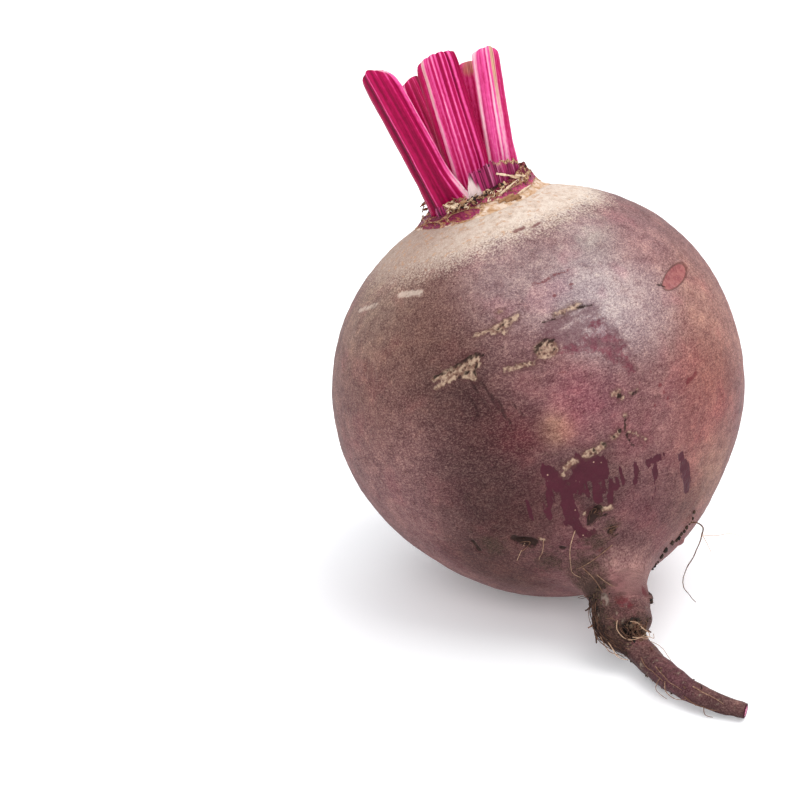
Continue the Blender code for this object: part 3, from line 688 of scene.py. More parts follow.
def skin_material(settings):
    """Dry root skin: pale ring, mauve skin with fine dots, corky scars, plum patches and soil."""
    look = Look("beet_skin", {
        "Specular IOR Level": 0.12, "Sheen Weight": 0.03, "Sheen Roughness": 0.4,
        "Sheen Tint": linear((255, 244, 236)),
    })
    turn = look.vector("turn")
    fine = look.grain(0.21, 2.0, turn.scaled(0.75, 0.75, 1.0))
    dash = look.grain(0.36, 2.0, turn.scaled(0.55, 0.55, 1.0))
    patchy = look.grain(4.5, 3.0)
    spread = look.grain(1.5, 3.0)
    ragged = (look.grain(0.7, 3.0) - 0.5) * 1.6
    # The mesh's tint: skin colours with painted shade and highlights.
    colour = look.vector("tint")
    dusky = (1.0 - patchy.between(0.3, 0.62)) * 0.6
    colour = colour.tinged(dusky, 0.72, 0.66, 0.72)
    colour = colour.tinged(patchy.between(0.5, 0.75) * 0.6, 1.25, 1.26, 1.2)
    cloud = look.grain(2.0, 4.0, turn.scaled(0.6, 0.6, 1.0), 0.62)
    lively = 1.0 - look.number("calm")
    colour = colour.tinged((1.0 - cloud.between(0.34, 0.54)) * lively, 0.78, 0.7, 0.72)
    colour = colour.tinged(cloud.between(0.52, 0.74) * lively, 1.26, 1.28, 1.2)
    rosy = look.grain(8.0, 2.0).between(0.5, 0.68) * 0.4
    colour = colour.tinged(rosy, 1.2, 0.86, 0.98)
    tail = look.number("tail")
    light_dots = (dash * 0.4 + fine * 0.6).between(0.46, 0.7)
    dark_dots = 1.0 - (dash * 0.4 + fine * 0.6).between(0.3, 0.54)
    dots = look.number("dots")
    light_skin = look.mix(0.3, colour.scaled(2.1, 2.15, 2.0), linear((214, 184, 164)))
    colour = look.mix(light_dots * dots * 1.3, colour, light_skin)
    colour = look.mix(dark_dots * (0.35 + lively * 0.65), colour, (0.5, 0.38, 0.4), "MULTIPLY")
    pores = (1.0 - look.cells(1.9, turn.scaled(0.7, 0.7, 1.0)).between(0.05, 0.13)) * 0.55
    pores = pores * spread.between(0.5, 0.62)
    colour = colour.coat(pores, (92, 52, 58))

    ring = look.number("ring")
    fade = (dash - 0.5) * 11.0 + (spread - 0.5) * 6.0
    pale = (ring - 1.6 + fade).between(-4.6, 2.8)
    cream = look.mix(spread.between(0.35, 0.7), settings["ring"], linear((204, 182, 164)))
    # Painted shade: the pale ring darker on the left flank.
    cream = cream.coat(look.number("flank") * 0.85, (156, 128, 114))
    cream = cream.coat(dark_dots * 0.4, (156, 118, 104))
    cream = cream.coat(light_dots * 0.4, (236, 224, 210))
    ochre = (look.grain(1.2, 3.0) + ring * 0.008).between(0.64, 0.7) * 0.5
    cream = cream.coat(ochre, (186, 136, 96))
    colour = look.mix(pale, colour, cream)

    crimson = (look.number("crimson") + ragged * 1.9 + (dash - 0.5) * 2.2).between(-0.6, 0.9)
    stripes = look.grain(0.9, 3.0, turn.scaled(0.3, 0.3, 1.0))
    bruise = (look.number("bruise") + ragged * 1.6 + (stripes - 0.5) * 4.0).between(-0.7, 1.0)
    colour = colour.coat(bruise * 0.62, (92, 54, 62))
    wine = look.mix(spread.between(0.35, 0.65), settings["crimson"], linear((80, 28, 42)))
    colour = look.mix(crimson * 0.72, colour, wine)
    # Painted shade: a dark line in each wrinkle's groove.
    fold = look.number("wrinkle") + (dash - 0.5) * 0.9
    colour = colour.coat(fold.between(-0.3, 0.2) * 0.8, (40, 18, 20))
    streaks = look.grain(0.8, 2.0, turn.scaled(1.0, 1.0, 0.22))
    plum_edge = look.number("plum") + (streaks - 0.5) * 2.4 + ragged * 0.35
    plum = plum_edge.between(-0.1, 0.16)
    plum_colour = look.mix(look.grain(2.4, 2.0), settings["plum"], linear((78, 28, 42)))
    colour = look.mix(plum * 0.94, colour, plum_colour)
    specks = (1.0 - look.cells(1.5).between(0.07, 0.13)) * spread.between(0.5, 0.6)
    colour = colour.coat(specks * plum * 0.8, (186, 150, 130))

    scuff = (look.number("pale") + ragged).between(-0.2, 0.5) * 0.6
    colour = colour.coat(scuff, (216, 196, 180))
    oval = look.number("oval") + ragged * 0.05
    oval_fill = 1.0 - oval.between(0.9, 1.0)
    oval_line = 1.0 - (oval - 1.0).math("ABSOLUTE").between(0.03, 0.13)
    oval_colour = look.tones(spread.between(0.4, 0.6), (158, 92, 90), (138, 68, 72))
    oval_colour = oval_colour.coat(dash.between(0.5, 0.7) * 0.3, (190, 128, 120))
    colour = look.mix(oval_fill * 0.8, colour, oval_colour)
    colour = colour.coat(oval_line * 0.7, (92, 48, 44))

    cork = (look.number("cork") + ragged * 0.8).between(-0.12, 0.28)
    bits = look.grain(0.8, 3.0).between(0.35, 0.65)
    cork_colour = look.tones(bits, (118, 86, 72), (190, 162, 138))
    pits = 1.0 - look.cells(1.0).between(0.16, 0.4)
    cork_colour = cork_colour.coat(pits * 0.85, (66, 40, 32))
    cork_edge = (look.number("cork") + ragged * 0.8).between(-0.75, -0.1) * (1.0 - cork)
    colour = colour.coat(cork_edge * 0.5, (84, 52, 50))
    colour = look.mix(cork * 0.8, colour, cork_colour)
    red = (look.number("red") + ragged * 0.45 + (dash - 0.5) * 0.8).between(-0.16, 0.16)
    colour = colour.coat(red * 0.75, (98, 32, 40))
    crack = (look.number("crack") + ragged * 0.45).between(-0.14, 0.16)
    colour = colour.coat(crack * 0.92, (42, 28, 24))

    soil = (look.number("soil") + ragged * 1.2 + (spread - 0.5) * 2.0).between(-0.6, 1.4)
    soil_colour = look.tones(fine.between(0.35, 0.65), (42, 30, 26), (86, 66, 56))
    colour = look.mix(soil * 0.85, colour, soil_colour)
    bark = look.grain(1.1, 3.0, turn)
    colour = colour.coat(tail * bark.between(0.45, 0.7) * 0.5, (70, 48, 46))
    colour = colour.coat(tail * bark.between(0.62, 0.76) * 0.4, (176, 158, 138))
    hollow = look.number("hollow")
    colour = colour.coat(hollow, (26, 20, 16))
    cut = look.number("cut")
    flesh = look.tones(look.grain(0.6, 2.0).between(0.45, 0.6), (150, 22, 66), (232, 150, 182))
    colour = look.mix(cut.between(0.7, 0.85), colour, flesh)
    cut_edge = cut.between(0.1, 0.3) * (1.0 - cut.between(0.7, 0.82))
    colour = colour.coat(cut_edge, (62, 20, 32))

    rough = settings["roughness"] + (fine - 0.5) * 0.3
    rough = rough - crimson * 0.22 - plum * 0.14 - oval_fill * 0.1 + cork * 0.15 + soil * 0.2
    smoothness = 1.0 - (crimson * 0.75).most(plum * 0.55).most(oval_fill * 0.7)
    height = (fine * 0.5 + dash * 0.5) * smoothness
    height = height + cork * (0.4 + look.grain(0.45, 2.0)) - crack * 0.8 + soil * fine
    height = height - plum * 0.15 - oval_line * 0.6
    normal = look.bump(height, settings["relief"])
    normal = look.bump(spread, 0.16, normal)
    return look.set(Base_Color=colour, Roughness=rough.most(0.2), Normal=normal)


def skin_fields(places, ways, tail_along, tail_bearing):
    """The per-vertex values that the skin's material reads."""
    on_bulb = ways * BULB_RADIUS
    right, back = across_axis(CROWN_AXIS)
    down = degrees_between(ways, CROWN_AXIS)
    bearing = np.arctan2(ways @ back, ways @ right)
    tail = smooth(0.5, 7.0, tail_along)
    turn = np.stack((np.cos(bearing), np.sin(bearing), np.radians(down)), axis=1) * BULB_RADIUS
    share = smooth(-1.0, 3.0, tail_along)[:, None]
    turn = turn * (1 - share) + (places - BULB_CENTRE) * share

    # The tint: the skin's own colours with painted shade and highlights from the soft areas.
    weights = np.full(len(places), SKIN_BASE_WEIGHT)
    tint = np.outer(weights, linear(SKIN_BASE))
    for a, b, spread, weight, colour in SKIN_TONES_AND_SHADING:
        near = degrees_between(ways, skin_place(a, b, 1.0))
        amount = weight * np.exp(-((near / spread) ** 2))
        tint += np.outer(amount, linear(colour))
        weights += amount
    tint /= weights[:, None]
    # Painted light: the neck paler on its upper side.
    neck = np.exp(-((tail_along - 0.5) / 4.0) ** 2) * (0.5 + 0.5 * np.cos(tail_bearing - 1.15))
    neck = 0.85 * neck[:, None]
    tint = tint * (1 - neck) + np.array(linear((156, 116, 112))) * neck
    # Painted light and shade: the taproot's bark paler on its upper side, darker underneath.
    side = 0.5 + 0.5 * np.cos(tail_bearing - math.radians(60))
    bark = np.outer(1 - side, linear((58, 34, 36))) + np.outer(side, linear((104, 72, 70)))
    purple = (smooth(16.0, 24.0, tail_along) * smooth(34.0, 28.0, tail_along))[:, None] * 0.5
    bark = bark * (1 - purple) + np.array(linear((94, 50, 64))) * purple
    tint = tint * (1 - tail[:, None]) + bark * tail[:, None]

    off_tail = tail_along < 0.5
    edge_bearings, edge_downs = zip(*RING_EDGE)
    degrees = np.degrees(bearing)
    edge = np.interp(degrees, edge_bearings, edge_downs)
    ring = np.radians(edge - down) * BULB_RADIUS / MM
    # The left flank: painted shade on the pale ring there, and a few more pale dots.
    flank = np.maximum(smooth(-70.0, -150.0, degrees), smooth(110.0, 180.0, degrees))
    left = np.maximum(smooth(-60.0, -100.0, degrees), smooth(110.0, 180.0, degrees))
    # Fewer pale dots low on the left and where the tint is dark, keeping the painted shade dark.
    low = smooth(84.0, 104.0, down) * (0.4 + 0.6 * left)
    bright = np.clip(tint.mean(axis=1), 0.0, 1.0) ** (1 / 2.4)
    dots = (0.52 + 0.1 * flank - 0.2 * low) * np.clip(0.3 + 1.1 * bright, 0.0, 1.0)
    dots = dots + 0.2 * smooth(-7.0, -1.0, ring)
    fields = {
        "turn": turn, "tint": tint, "tail": tail, "dots": dots, "flank": flank,
        "calm": 0.6 * smooth(0.5, 0.75, bright),
        "ring": np.clip(ring, -9.0, 9.0),
    }
    lines = {
        "cork": CORK, "crack": CRACKS, "red": RED_LINES, "plum": PLUM, "crimson": CRIMSON,
        "bruise": BRUISE, "pale": PALE, "wrinkle": WRINKLES,
    }
    for name, marks in lines.items():
        fields[name] = np.where(off_tail, inside_lines(on_bulb, marks), -3.0)
    oval = np.minimum(*[mark_offset(ways, scar) for scar in OVAL_SCARS])
    fields["oval"] = np.where(off_tail, np.minimum(oval, 3.0), 3.0)
    return fields


def tail_spot(tail_along, tail_bearing, along, bearing, half_length, half_width):
    """Nearness to a spot on the neck or taproot, 1 in its middle and 0 at its edge."""
    turn = (tail_bearing - math.radians(bearing) + math.pi) % math.tau - math.pi
    beside = turn * NECK_RADIUS / MM
    return 1.0 - np.hypot((tail_along - along) / half_length, beside / half_width)


def skin_mesh(piece):
    """The bulb, neck and taproot as one fine mesh with its values."""
    right, other = across_axis(TAIL_AXIS)
    ways, angles, bearings, rings = [], [], [], []
    count = 0
    for k in range(SKIN_RINGS):
        angle = NECK_ANGLE + (math.pi - NECK_ANGLE) * (1 - (k + 1) / SKIN_RINGS) ** 1.35
        across = math.sin(angle)
        sides = SKIN_SIDES // (1 if across > 0.5 else 2 if across > 0.25 else 4)
        turns = turns_round(sides)
        out = np.outer(np.cos(turns), right) + np.outer(np.sin(turns), other)
        ways.append(TAIL_AXIS * math.cos(angle) + out * across)
        angles.append(np.full(sides, angle))
        bearings.append(turns)
        rings.append(np.arange(count, count + sides))
        count += sides
    ways = np.vstack(ways)
    angles, bearings = np.concatenate(angles), np.concatenate(bearings)
    reach = bulb_reach(ways, angles, bearings) + mark_height(ways)
    places = BULB_CENTRE + ways * reach[:, None]
    outs = ways.copy()
    along = -np.degrees(angles - NECK_ANGLE) * 0.74

    path, start = taproot()
    length = path.reach[-1] - start
    sides = len(rings[-1])
    turns = turns_round(sides)
    tail_places, tail_outs, tail_along = [], [], []
    for k in range(1, TAPROOT_RINGS + 1):
        distance = length * k / TAPROOT_RINGS
        middle, a, b = path.at(start + distance)
        out = np.outer(np.cos(turns), a) + np.outer(np.sin(turns), b)
        tail_places.append(middle + out * taproot_radius(distance, length))
        tail_outs.append(out)
        tail_along.append(np.full(sides, distance / MM))
        rings.append(np.arange(count, count + sides))
        count += sides
    middle, a, b = path.at(path.reach[-1])
    ahead = np.cross(a, b)
    cap = []
    for share, push in ((0.8, 0.1), (0.55, -0.05), (0.3, -0.12)):
        out = np.outer(np.cos(turns), a) + np.outer(np.sin(turns), b)
        cap.append(middle + out * TIP_RADIUS * share + ahead * push * MM)
        rings.append(np.arange(count, count + sides))
        count += sides
    places = np.vstack([places] + tail_places + cap + [middle[None] + ahead * 0.05 * MM])
    outs = np.vstack([outs] + tail_outs + [np.tile(ahead, (3 * sides + 1, 1))])
    tail_length = length / MM
    along = np.concatenate([along] + tail_along + [np.full(3 * sides + 1, tail_length)])
    bearings = np.concatenate([bearings, np.tile(turns, TAPROOT_RINGS + 3), [0.0]])
    on_cap = np.zeros(count + 1)
    on_cap[count - 3 * sides:] = 1.0
    on_cap[count - 3 * sides:count - 2 * sides] = 0.6
    on_cap[count - 4 * sides:count - 3 * sides] = 0.35
    pole = skin_pole()
    places = np.vstack((places, [pole]))
    outs = np.vstack((outs, [-TAIL_AXIS]))
    along = np.append(along, -120.0)
    bearings = np.append(bearings, 0.0)
    on_cap = np.append(on_cap, 0.0)
    faces = tube(rings, count + 1, count)

    ways = unit(places - BULB_CENTRE)
    fields = skin_fields(places, ways, along, bearings)
    fields["cut"] = on_cap
    on_tail = smooth(-2.0, 2.0, along)
    lift = lumps(places, 1.7 * MM) * 0.05 + lumps(places, 0.95 * MM, 5.0) * 0.03
    lift += lumps(fields["turn"] * np.array((0.22, 0.22, 1.0)), 1.1 * MM) * 0.05
    lift += lumps(places, 7.0 * MM, 3.0) * 0.14
    cork = smooth(-0.4, 0.5, fields["cork"])
    lift += cork * (0.16 + 0.22 * lumps(places, 0.8 * MM, 9.0))
    lift -= smooth(-0.3, 0.35, fields["crack"]) * 0.4
    lift -= smooth(-0.2, 0.5, fields["red"]) * 0.12
    lift -= smooth(-0.3, 0.3, fields["plum"]) * 0.05
    wrinkle = fields["wrinkle"]
    lift += np.exp(-(((wrinkle + 0.75) / 0.4) ** 2)) * 0.18 - smooth(-0.45, 0.1, wrinkle) * 0.32
    oval = fields["oval"]
    lift += np.where(oval < 1.4, 0.12 * np.exp(-(((oval - 1.12) / 0.1) ** 2)), 0.0)
    lift -= smooth(1.05, 0.9, oval) * 0.12

    stretched = np.stack((np.cos(bearings) * 1.2, np.sin(bearings) * 1.2, along), axis=1)
    lift += on_tail * lumps(stretched * np.array((1.0, 1.0, 0.75)), 1.0) * 0.1
    lift += on_tail * lumps(stretched * np.array((1.6, 1.6, 0.12)), 1.0, 4.0) * 0.16
    lift += on_tail * lumps(stretched * np.array((0.8, 0.8, 0.28)), 1.0, 8.0) * 0.24
    hollow = np.maximum(tail_spot(along, bearings, 9.9, 92.0, 2.3, 4.2),
                        tail_spot(along, bearings, 11.0, 50.0, 1.5, 3.0))
    lift -= smooth(0.0, 0.6, hollow) * 1.5
    lip = tail_spot(along, bearings, 6.9, 80.0, 1.6, 6.5)
    lift += smooth(0.0, 0.8, lip) * 0.5
    nub = tail_spot(along, bearings, 2.4, 22.0, 1.3, 1.5)
    lift += smooth(0.0, 0.7, nub) * 0.6
    scar = tail_spot(along, bearings, 3.1, 128.0, 1.4, 0.8)
    lift += np.exp(-(((scar - 0.05) / 0.22) ** 2)) * 0.18
    tail_end = smooth(0.0, 1.0, tail_length - along)
    lift = np.where(along > 0, lift * (0.25 + 0.75 * tail_end), lift)
    places = places + outs * (lift * MM * (1 - on_cap))[:, None]

    fields["hollow"] = smooth(0.05, 0.5, hollow)
    crease = tail_spot(along, bearings, -0.5, 150.0, 4.0, 5.0)
    smear = tail_spot(along, bearings, 5.0, 150.0, 7.5, 5.0)
    under = tail_spot(along, bearings, 9.5, 100.0, 3.0, 12.0)
    grime = tail_spot(along, bearings, 2.4, 18.0, 1.6, 1.6)
    soil = np.maximum.reduce([crease * 2.6, smear * 1.9, under * 2.4, grime * 2.2])
    low = np.maximum.reduce([
        mark_soil(ways, 124.0, -104.0, 5.0), mark_soil(ways, 128.0, -94.0, 6.0),
        mark_soil(ways, 121.0, -88.0, 3.5), mark_soil(ways, 114.0, -118.0, 4.0),
        mark_soil(ways, 127.0, 120.0, 9.0), mark_soil(ways, 118.0, -82.4, 2.6),
    ])
    fields["soil"] = np.clip(np.maximum(soil, low) - 0.3, -3.0, 3.0)
    fields["red"] = np.maximum.reduce([
        fields["red"],
        tail_spot(along, bearings, 1.8, 41.0, 0.9, 0.8) * 0.5,
        tail_spot(along, bearings, 5.4, 82.0, 0.8, 0.7) * 0.4,
        tail_spot(along, bearings, 4.0, 97.0, 1.0, 1.2) * 0.4,
        tail_spot(along, bearings, 3.4, 131.0, 1.2, 0.3) * 0.4,
    ])
    fields["pale"] = np.maximum(fields["pale"], scar * 1.4 + 0.1)

    seat = (places - CROWN_SEAT) @ CROWN_AXIS
    places = places - np.outer(np.maximum(seat, 0.0), CROWN_AXIS)
    places[:, 2] = np.maximum(places[:, 2], 0.0)
    piece.add(places, faces, **fields)


def mark_soil(ways, down, bearing, spread):
    """Soil on the bulb round a place, 1.3 in its middle, less than 0 away from it."""
    near = degrees_between(ways, skin_place(down, bearing, 1.0))
    return 1.6 * np.exp(-((near / spread) ** 2)) - 0.3


def skin_pole():
    """The bulb's point opposite the taproot."""
    way = -TAIL_AXIS[None]
    reach = bulb_reach(way, np.array([math.pi]), np.array([0.0])) + mark_height(way)
    return BULB_CENTRE + way[0] * reach[0]


# Crown

def on_crown(right, back, up):
    """Places given on the crown's seat, in metres."""
    across, away = across_axis(CROWN_AXIS)
    return CROWN_SEAT + np.multiply.outer(right, across) + np.multiply.outer(back, away) \
        + np.multiply.outer(up, CROWN_AXIS)


def crown_floor(right):
    """Height of the crown's top, which slopes up to the right."""
    return CROWN_RISE + CROWN_SLANT * right


# Leaf scars round the crown: bearing, height in mm, half length in degrees, half height in mm,
# and how pink they are
LEAF_SCARS = [
    (-146.0, 2.3, 19.0, 1.2, 0.0),
    (-95.0, 2.8, 12.0, 0.6, 0.2),
    (-77.0, 2.5, 10.0, 0.55, 0.9),
    (-44.0, 2.0, 26.0, 0.75, 1.0),
    (-107.0, 1.2, 17.0, 0.75, 0.7),
    (-146.0, 0.5, 15.0, 0.45, 0.5),
    (-10.0, 2.6, 14.0, 0.9, 0.5),
    (18.0, 1.2, 17.0, 0.8, 0.8),
    (44.0, 2.6, 16.0, 0.9, 0.2),
    (74.0, 1.3, 17.0, 0.8, 0.7),
    (100.0, 2.4, 15.0, 0.9, 0.4),
    (128.0, 1.2, 16.0, 0.8, 0.9),
    (156.0, 2.2, 15.0, 0.9, 0.1),
    (180.0, 0.9, 13.0, 0.6, 0.6),
]


def crown_mesh(piece):
    """The low stem with its leaf scars and a ragged rim round a sloping top."""
    turns = turns_round(CROWN_SIDES)
    degrees = np.degrees(turns)
    top = crown_floor(CROWN_TOP_RADIUS * np.cos(turns))
    ragged = 0.55 + 0.45 * np.sin(7 * turns + 1.3) * np.sin(3 * turns)
    ragged = ragged + 0.35 * lumps(np.stack((np.cos(turns), np.sin(turns), turns * 0), 1), 0.05)
    left = smooth(60.0, 34.0, np.abs((degrees + 150.0 + 180.0) % 360.0 - 180.0))
    ragged = ragged * (1.0 - 0.7 * left)
    levels = np.linspace(0.0, 1.0, CROWN_RINGS)
    radii, heights = [], []
    for level in levels:
        radii.append(CROWN_RADIUS + (CROWN_TOP_RADIUS - CROWN_RADIUS) * level ** 0.7 + turns * 0)
        heights.append(0.05 * MM + (top - 0.05 * MM) * level)
    # The rim's rings: inset in mm, and share of the rim's height
    rim = [(0.05, 0.5), (0.12, 0.9), (0.3, 1.0), (0.55, 0.8), (0.75, 0.2), (0.95, 0.0)]
    for inset, rise in rim:
        radii.append(CROWN_TOP_RADIUS - inset * MM + turns * 0)
        heights.append(top + RIM_RISE * ragged * rise)
    radius = np.array(radii)
    height = np.array(heights)
    bearing = np.tile(degrees, (len(radii), 1))
    scar = np.full(radius.shape, -2.0)
    pink = np.zeros(radius.shape)
    for at, up, half, tall, how_pink in LEAF_SCARS:
        turn = (bearing - at + 180.0) % 360.0 - 180.0
        inside = 1.0 - np.hypot(turn / half, (height / MM - up) / tall)
        pink = np.where(inside > scar, how_pink, pink)
        scar = np.maximum(scar, inside)
    rows = np.stack((np.cos(turns), np.sin(turns)), axis=1)
    shape = np.stack((rows[:, 0] * 11.3, rows[:, 1] * 11.3, turns * 0), axis=1)
    crumble = []
    for row in range(len(radii)):
        shape[:, 2] = height[row] / MM
        crumble.append(lumps(shape, 0.7) * 0.18 + lumps(shape, 0.3, 4.0) * 0.06)
    crumble = np.array(crumble)
    outside = np.arange(len(radii))[:, None] < CROWN_RINGS
    edge = np.exp(-(((scar + 0.06) / 0.14) ** 2))
    radius = radius + np.where(outside, edge * 0.42 - smooth(0.0, 0.3, scar) * 0.12, 0.0) * MM
    radius = radius + crumble * (1.0 - smooth(0.0, 0.3, scar) * 0.7) * MM
    around = np.stack((rows[:, 0], rows[:, 1], turns * 0), axis=1)
    skirt = 1.7 + 1.3 * lumps(around, 0.22, 2.0) + 0.5 * lumps(around, 0.07, 6.0)
    skirt = np.maximum(skirt, 0.5) * np.exp(-height / (0.5 * MM))
    radius = radius + np.where(outside, skirt, 0.0) * MM
    beyond = np.maximum(radius - CROWN_RADIUS, 0.0)
    sag = beyond * (CROWN_RADIUS * 2 + beyond) / (BULB_RADIUS * 2)
    places = on_crown(radius * rows[:, 0], radius * rows[:, 1], height - sag)
    rings = ring_numbers(CROWN_SIDES, len(radii))
    flat = places.reshape(-1, 3)
    middle = np.vstack((on_crown(0.0, 0.0, 0.05 * MM), on_crown(0.0, 0.0, float(CROWN_RISE))))
    flat = np.vstack((flat, middle))
    faces = tube(rings, len(flat) - 2, len(flat) - 1)
    level = np.append((height / top).ravel(), (0.0, 1.0))
    piece.add(flat, faces, scar=np.append(scar.ravel(), (-2.0, -2.0)),
              pink=np.append(pink.ravel(), (0.0, 0.0)), level=level,
              flank=np.append(np.tile(left, len(radii)), (0.0, 0.0)))


def crown_material(settings):
    """Cream cork with wine-coloured leaf scars and torn golden-brown rims."""
    look = Look("crown_collar", {"Specular IOR Level": 0.15})
    fine = look.grain(0.35, 3.0)
    spread = look.grain(1.3, 3.0)
    scar = look.number("scar") + (look.grain(0.6, 2.0) - 0.5) * 0.22
    level = look.number("level")
    cream = look.tones(spread.between(0.35, 0.65), (222, 200, 182), (196, 160, 128))
    brown = look.tones(fine.between(0.4, 0.6), (118, 78, 52), (202, 164, 122))
    flank = look.number("flank")
    rosy = look.number("pink") * (1.0 - flank * 0.6)
    wine = look.mix(rosy, settings["wine"], linear((188, 78, 116)))
    streak = look.grain(0.5, 2.0, look.place().scaled(1.0, 1.0, 0.25))
    wine = wine.coat(streak.between(0.4, 0.65) * 0.6, (84, 14, 44))
    wine = wine.coat(streak.between(0.62, 0.75) * 0.25, (216, 140, 168))
    upper = (level + (spread - 0.5) * 0.9).between(0.5, 0.8)
    bark = look.mix(spread.between(0.45, 0.62), linear((104, 20, 48)), brown)
    colour = look.mix(upper, cream, bark)
    deep = look.tones(streak.between(0.4, 0.6), (92, 10, 40), (128, 28, 64))
    colour = look.mix(flank * (level + (spread - 0.5) * 0.8).between(0.05, 0.3), colour, deep)
    rim = scar.between(-0.34, -0.12) * (1.0 - scar.between(-0.04, 0.04))
    colour = look.mix(rim * 0.75, colour, brown)
    colour = look.mix(scar.between(-0.04, 0.06), colour, wine)
    arcs = look.grain(0.5, 2.0, look.place().scaled(0.4, 0.4, 1.6)).between(0.56, 0.62)
    colour = colour.coat(arcs * 0.6 * (1.0 - upper), (164, 116, 70))
    specks = look.grain(0.8, 3.0).between(0.62, 0.68)
    colour = colour.coat(specks * 0.8 * upper, (44, 28, 22))
    rough = 0.75 - scar.between(0.0, 0.2) * 0.3
    normal = look.bump(fine + spread, 0.14)
    return look.set(Base_Color=colour, Roughness=rough, Normal=normal)


# Stalks

# Stripes along each stalk: turn round it and half width in degrees, how pale (less than 0 is
# dark), and how yellow
STALK_STRIPES = {
    "stalk_left": [
        (-62, 12, 0.0, 0), (-25, 9, -0.75, 0), (-11, 3.0, 0.55, 0), (1, 4, 0.0, 0),
        (11, 5, -0.4, 0), (22, 3.5, 0.3, 0), (36, 8, -0.4, 0), (50, 3, 0.35, 0),
        (60, 6, -0.25, 0), (74, 5, 0.5, 0), (92, 13, 0.9, 0), (120, 8, 0.6, 0),
        (150, 12, 0.2, 0), (200, 10, 0.5, 0), (-95, 8, 0.4, 0),
    ],
    "stalk_back_left": [
        (70, 8, 0.0, 0), (92, 8, 1.0, 0), (115, 16, -0.3, 0), (140, 6, 0.4, 0),
        (160, 12, -0.5, 0), (185, 5, 0.3, 0), (215, 14, -0.7, 0), (0, 10, -0.3, 0),
        (30, 7, 0.5, 0), (-30, 7, 0.4, 0),
    ],
    "stalk_middle": [
        (-66, 20, -0.2, 0), (-46, 3, 0.2, 0), (-33, 9, 0.9, 0.5), (-20, 3, 0.2, 0),
        (-13, 3, 0.85, 0), (-6, 3, -0.1, 0), (0, 3, 0.75, 0), (6, 3, 0.05, 0),
        (12, 3, 0.7, 0), (19, 4, -0.3, 0), (26, 3, 0.7, 0), (33, 3, -0.35, 0),
        (40, 3, 0.55, 0), (47, 3, -0.55, 0), (54, 3, 0.6, 0), (63, 4, -0.5, 0),
        (73, 3, 0.5, 0), (84, 7, -0.5, 0), (120, 12, 0.5, 0), (160, 14, -0.2, 0),
        (200, 12, 0.5, 0), (-100, 8, 0.2, 0),
    ],
    "stalk_back_right": [
        (180, 40, 0.2, 0.62), (120, 12, -0.2, 0), (0, 14, 0.5, 0.5), (35, 10, -0.1, 0.2),
        (-40, 12, 0.2, 0.4), (250, 12, -0.3, 0.2),
    ],
    "stalk_right": [
        (-76, 11, 1.1, 0), (-40, 13, 0.3, 0), (-30, 3, 0.6, 0), (-14, 5, 0.9, 0),
        (6, 10, 0.8, 0.9), (25, 4, 0.2, 0.0), (38, 8, 0.0, 0), (50, 3, 0.4, 0),
        (60, 6, -0.1, 0), (74, 6, -0.35, 0), (90, 8, 0.5, 0), (130, 14, 0.3, 0),
        (180, 12, 0.6, 0),
    ],
}
STALK_TONES = {
    "stalk_left": -0.36,
    "stalk_back_left": -0.05,
    "stalk_middle": 0.06,
    "stalk_back_right": 0.1,
    "stalk_right": 0.32,
}
# The sheath's flare at the foot, left and right, in mm
SHEATH_WINGS = {
    "stalk_left": (0.3, 2.2),
    "stalk_back_left": (0.6, 0.5),
    "stalk_middle": (0.4, -1.4),
    "stalk_back_right": (0.5, 0.5),
    "stalk_right": (0.3, 0.6),
}
# How far the cut's left and right corners drop, in mm, its slope outwards, how far it stands
# above the plain stalk's end and how far its right corner is lifted
CUT_ENDS = {
    "stalk_left": (3.4, 3.0, 0.4, 1.7, -0.5),
    "stalk_back_left": (0.4, 0.6, -0.4, 0.0, -0.2),
    "stalk_middle": (0.7, 0.6, 0.45, 0.6, 1.0),
    "stalk_back_right": (0.6, 0.6, -0.4, 0.0, 0.0),
    "stalk_right": (0.5, 1.9, 0.4, 0.5, -0.2),
}


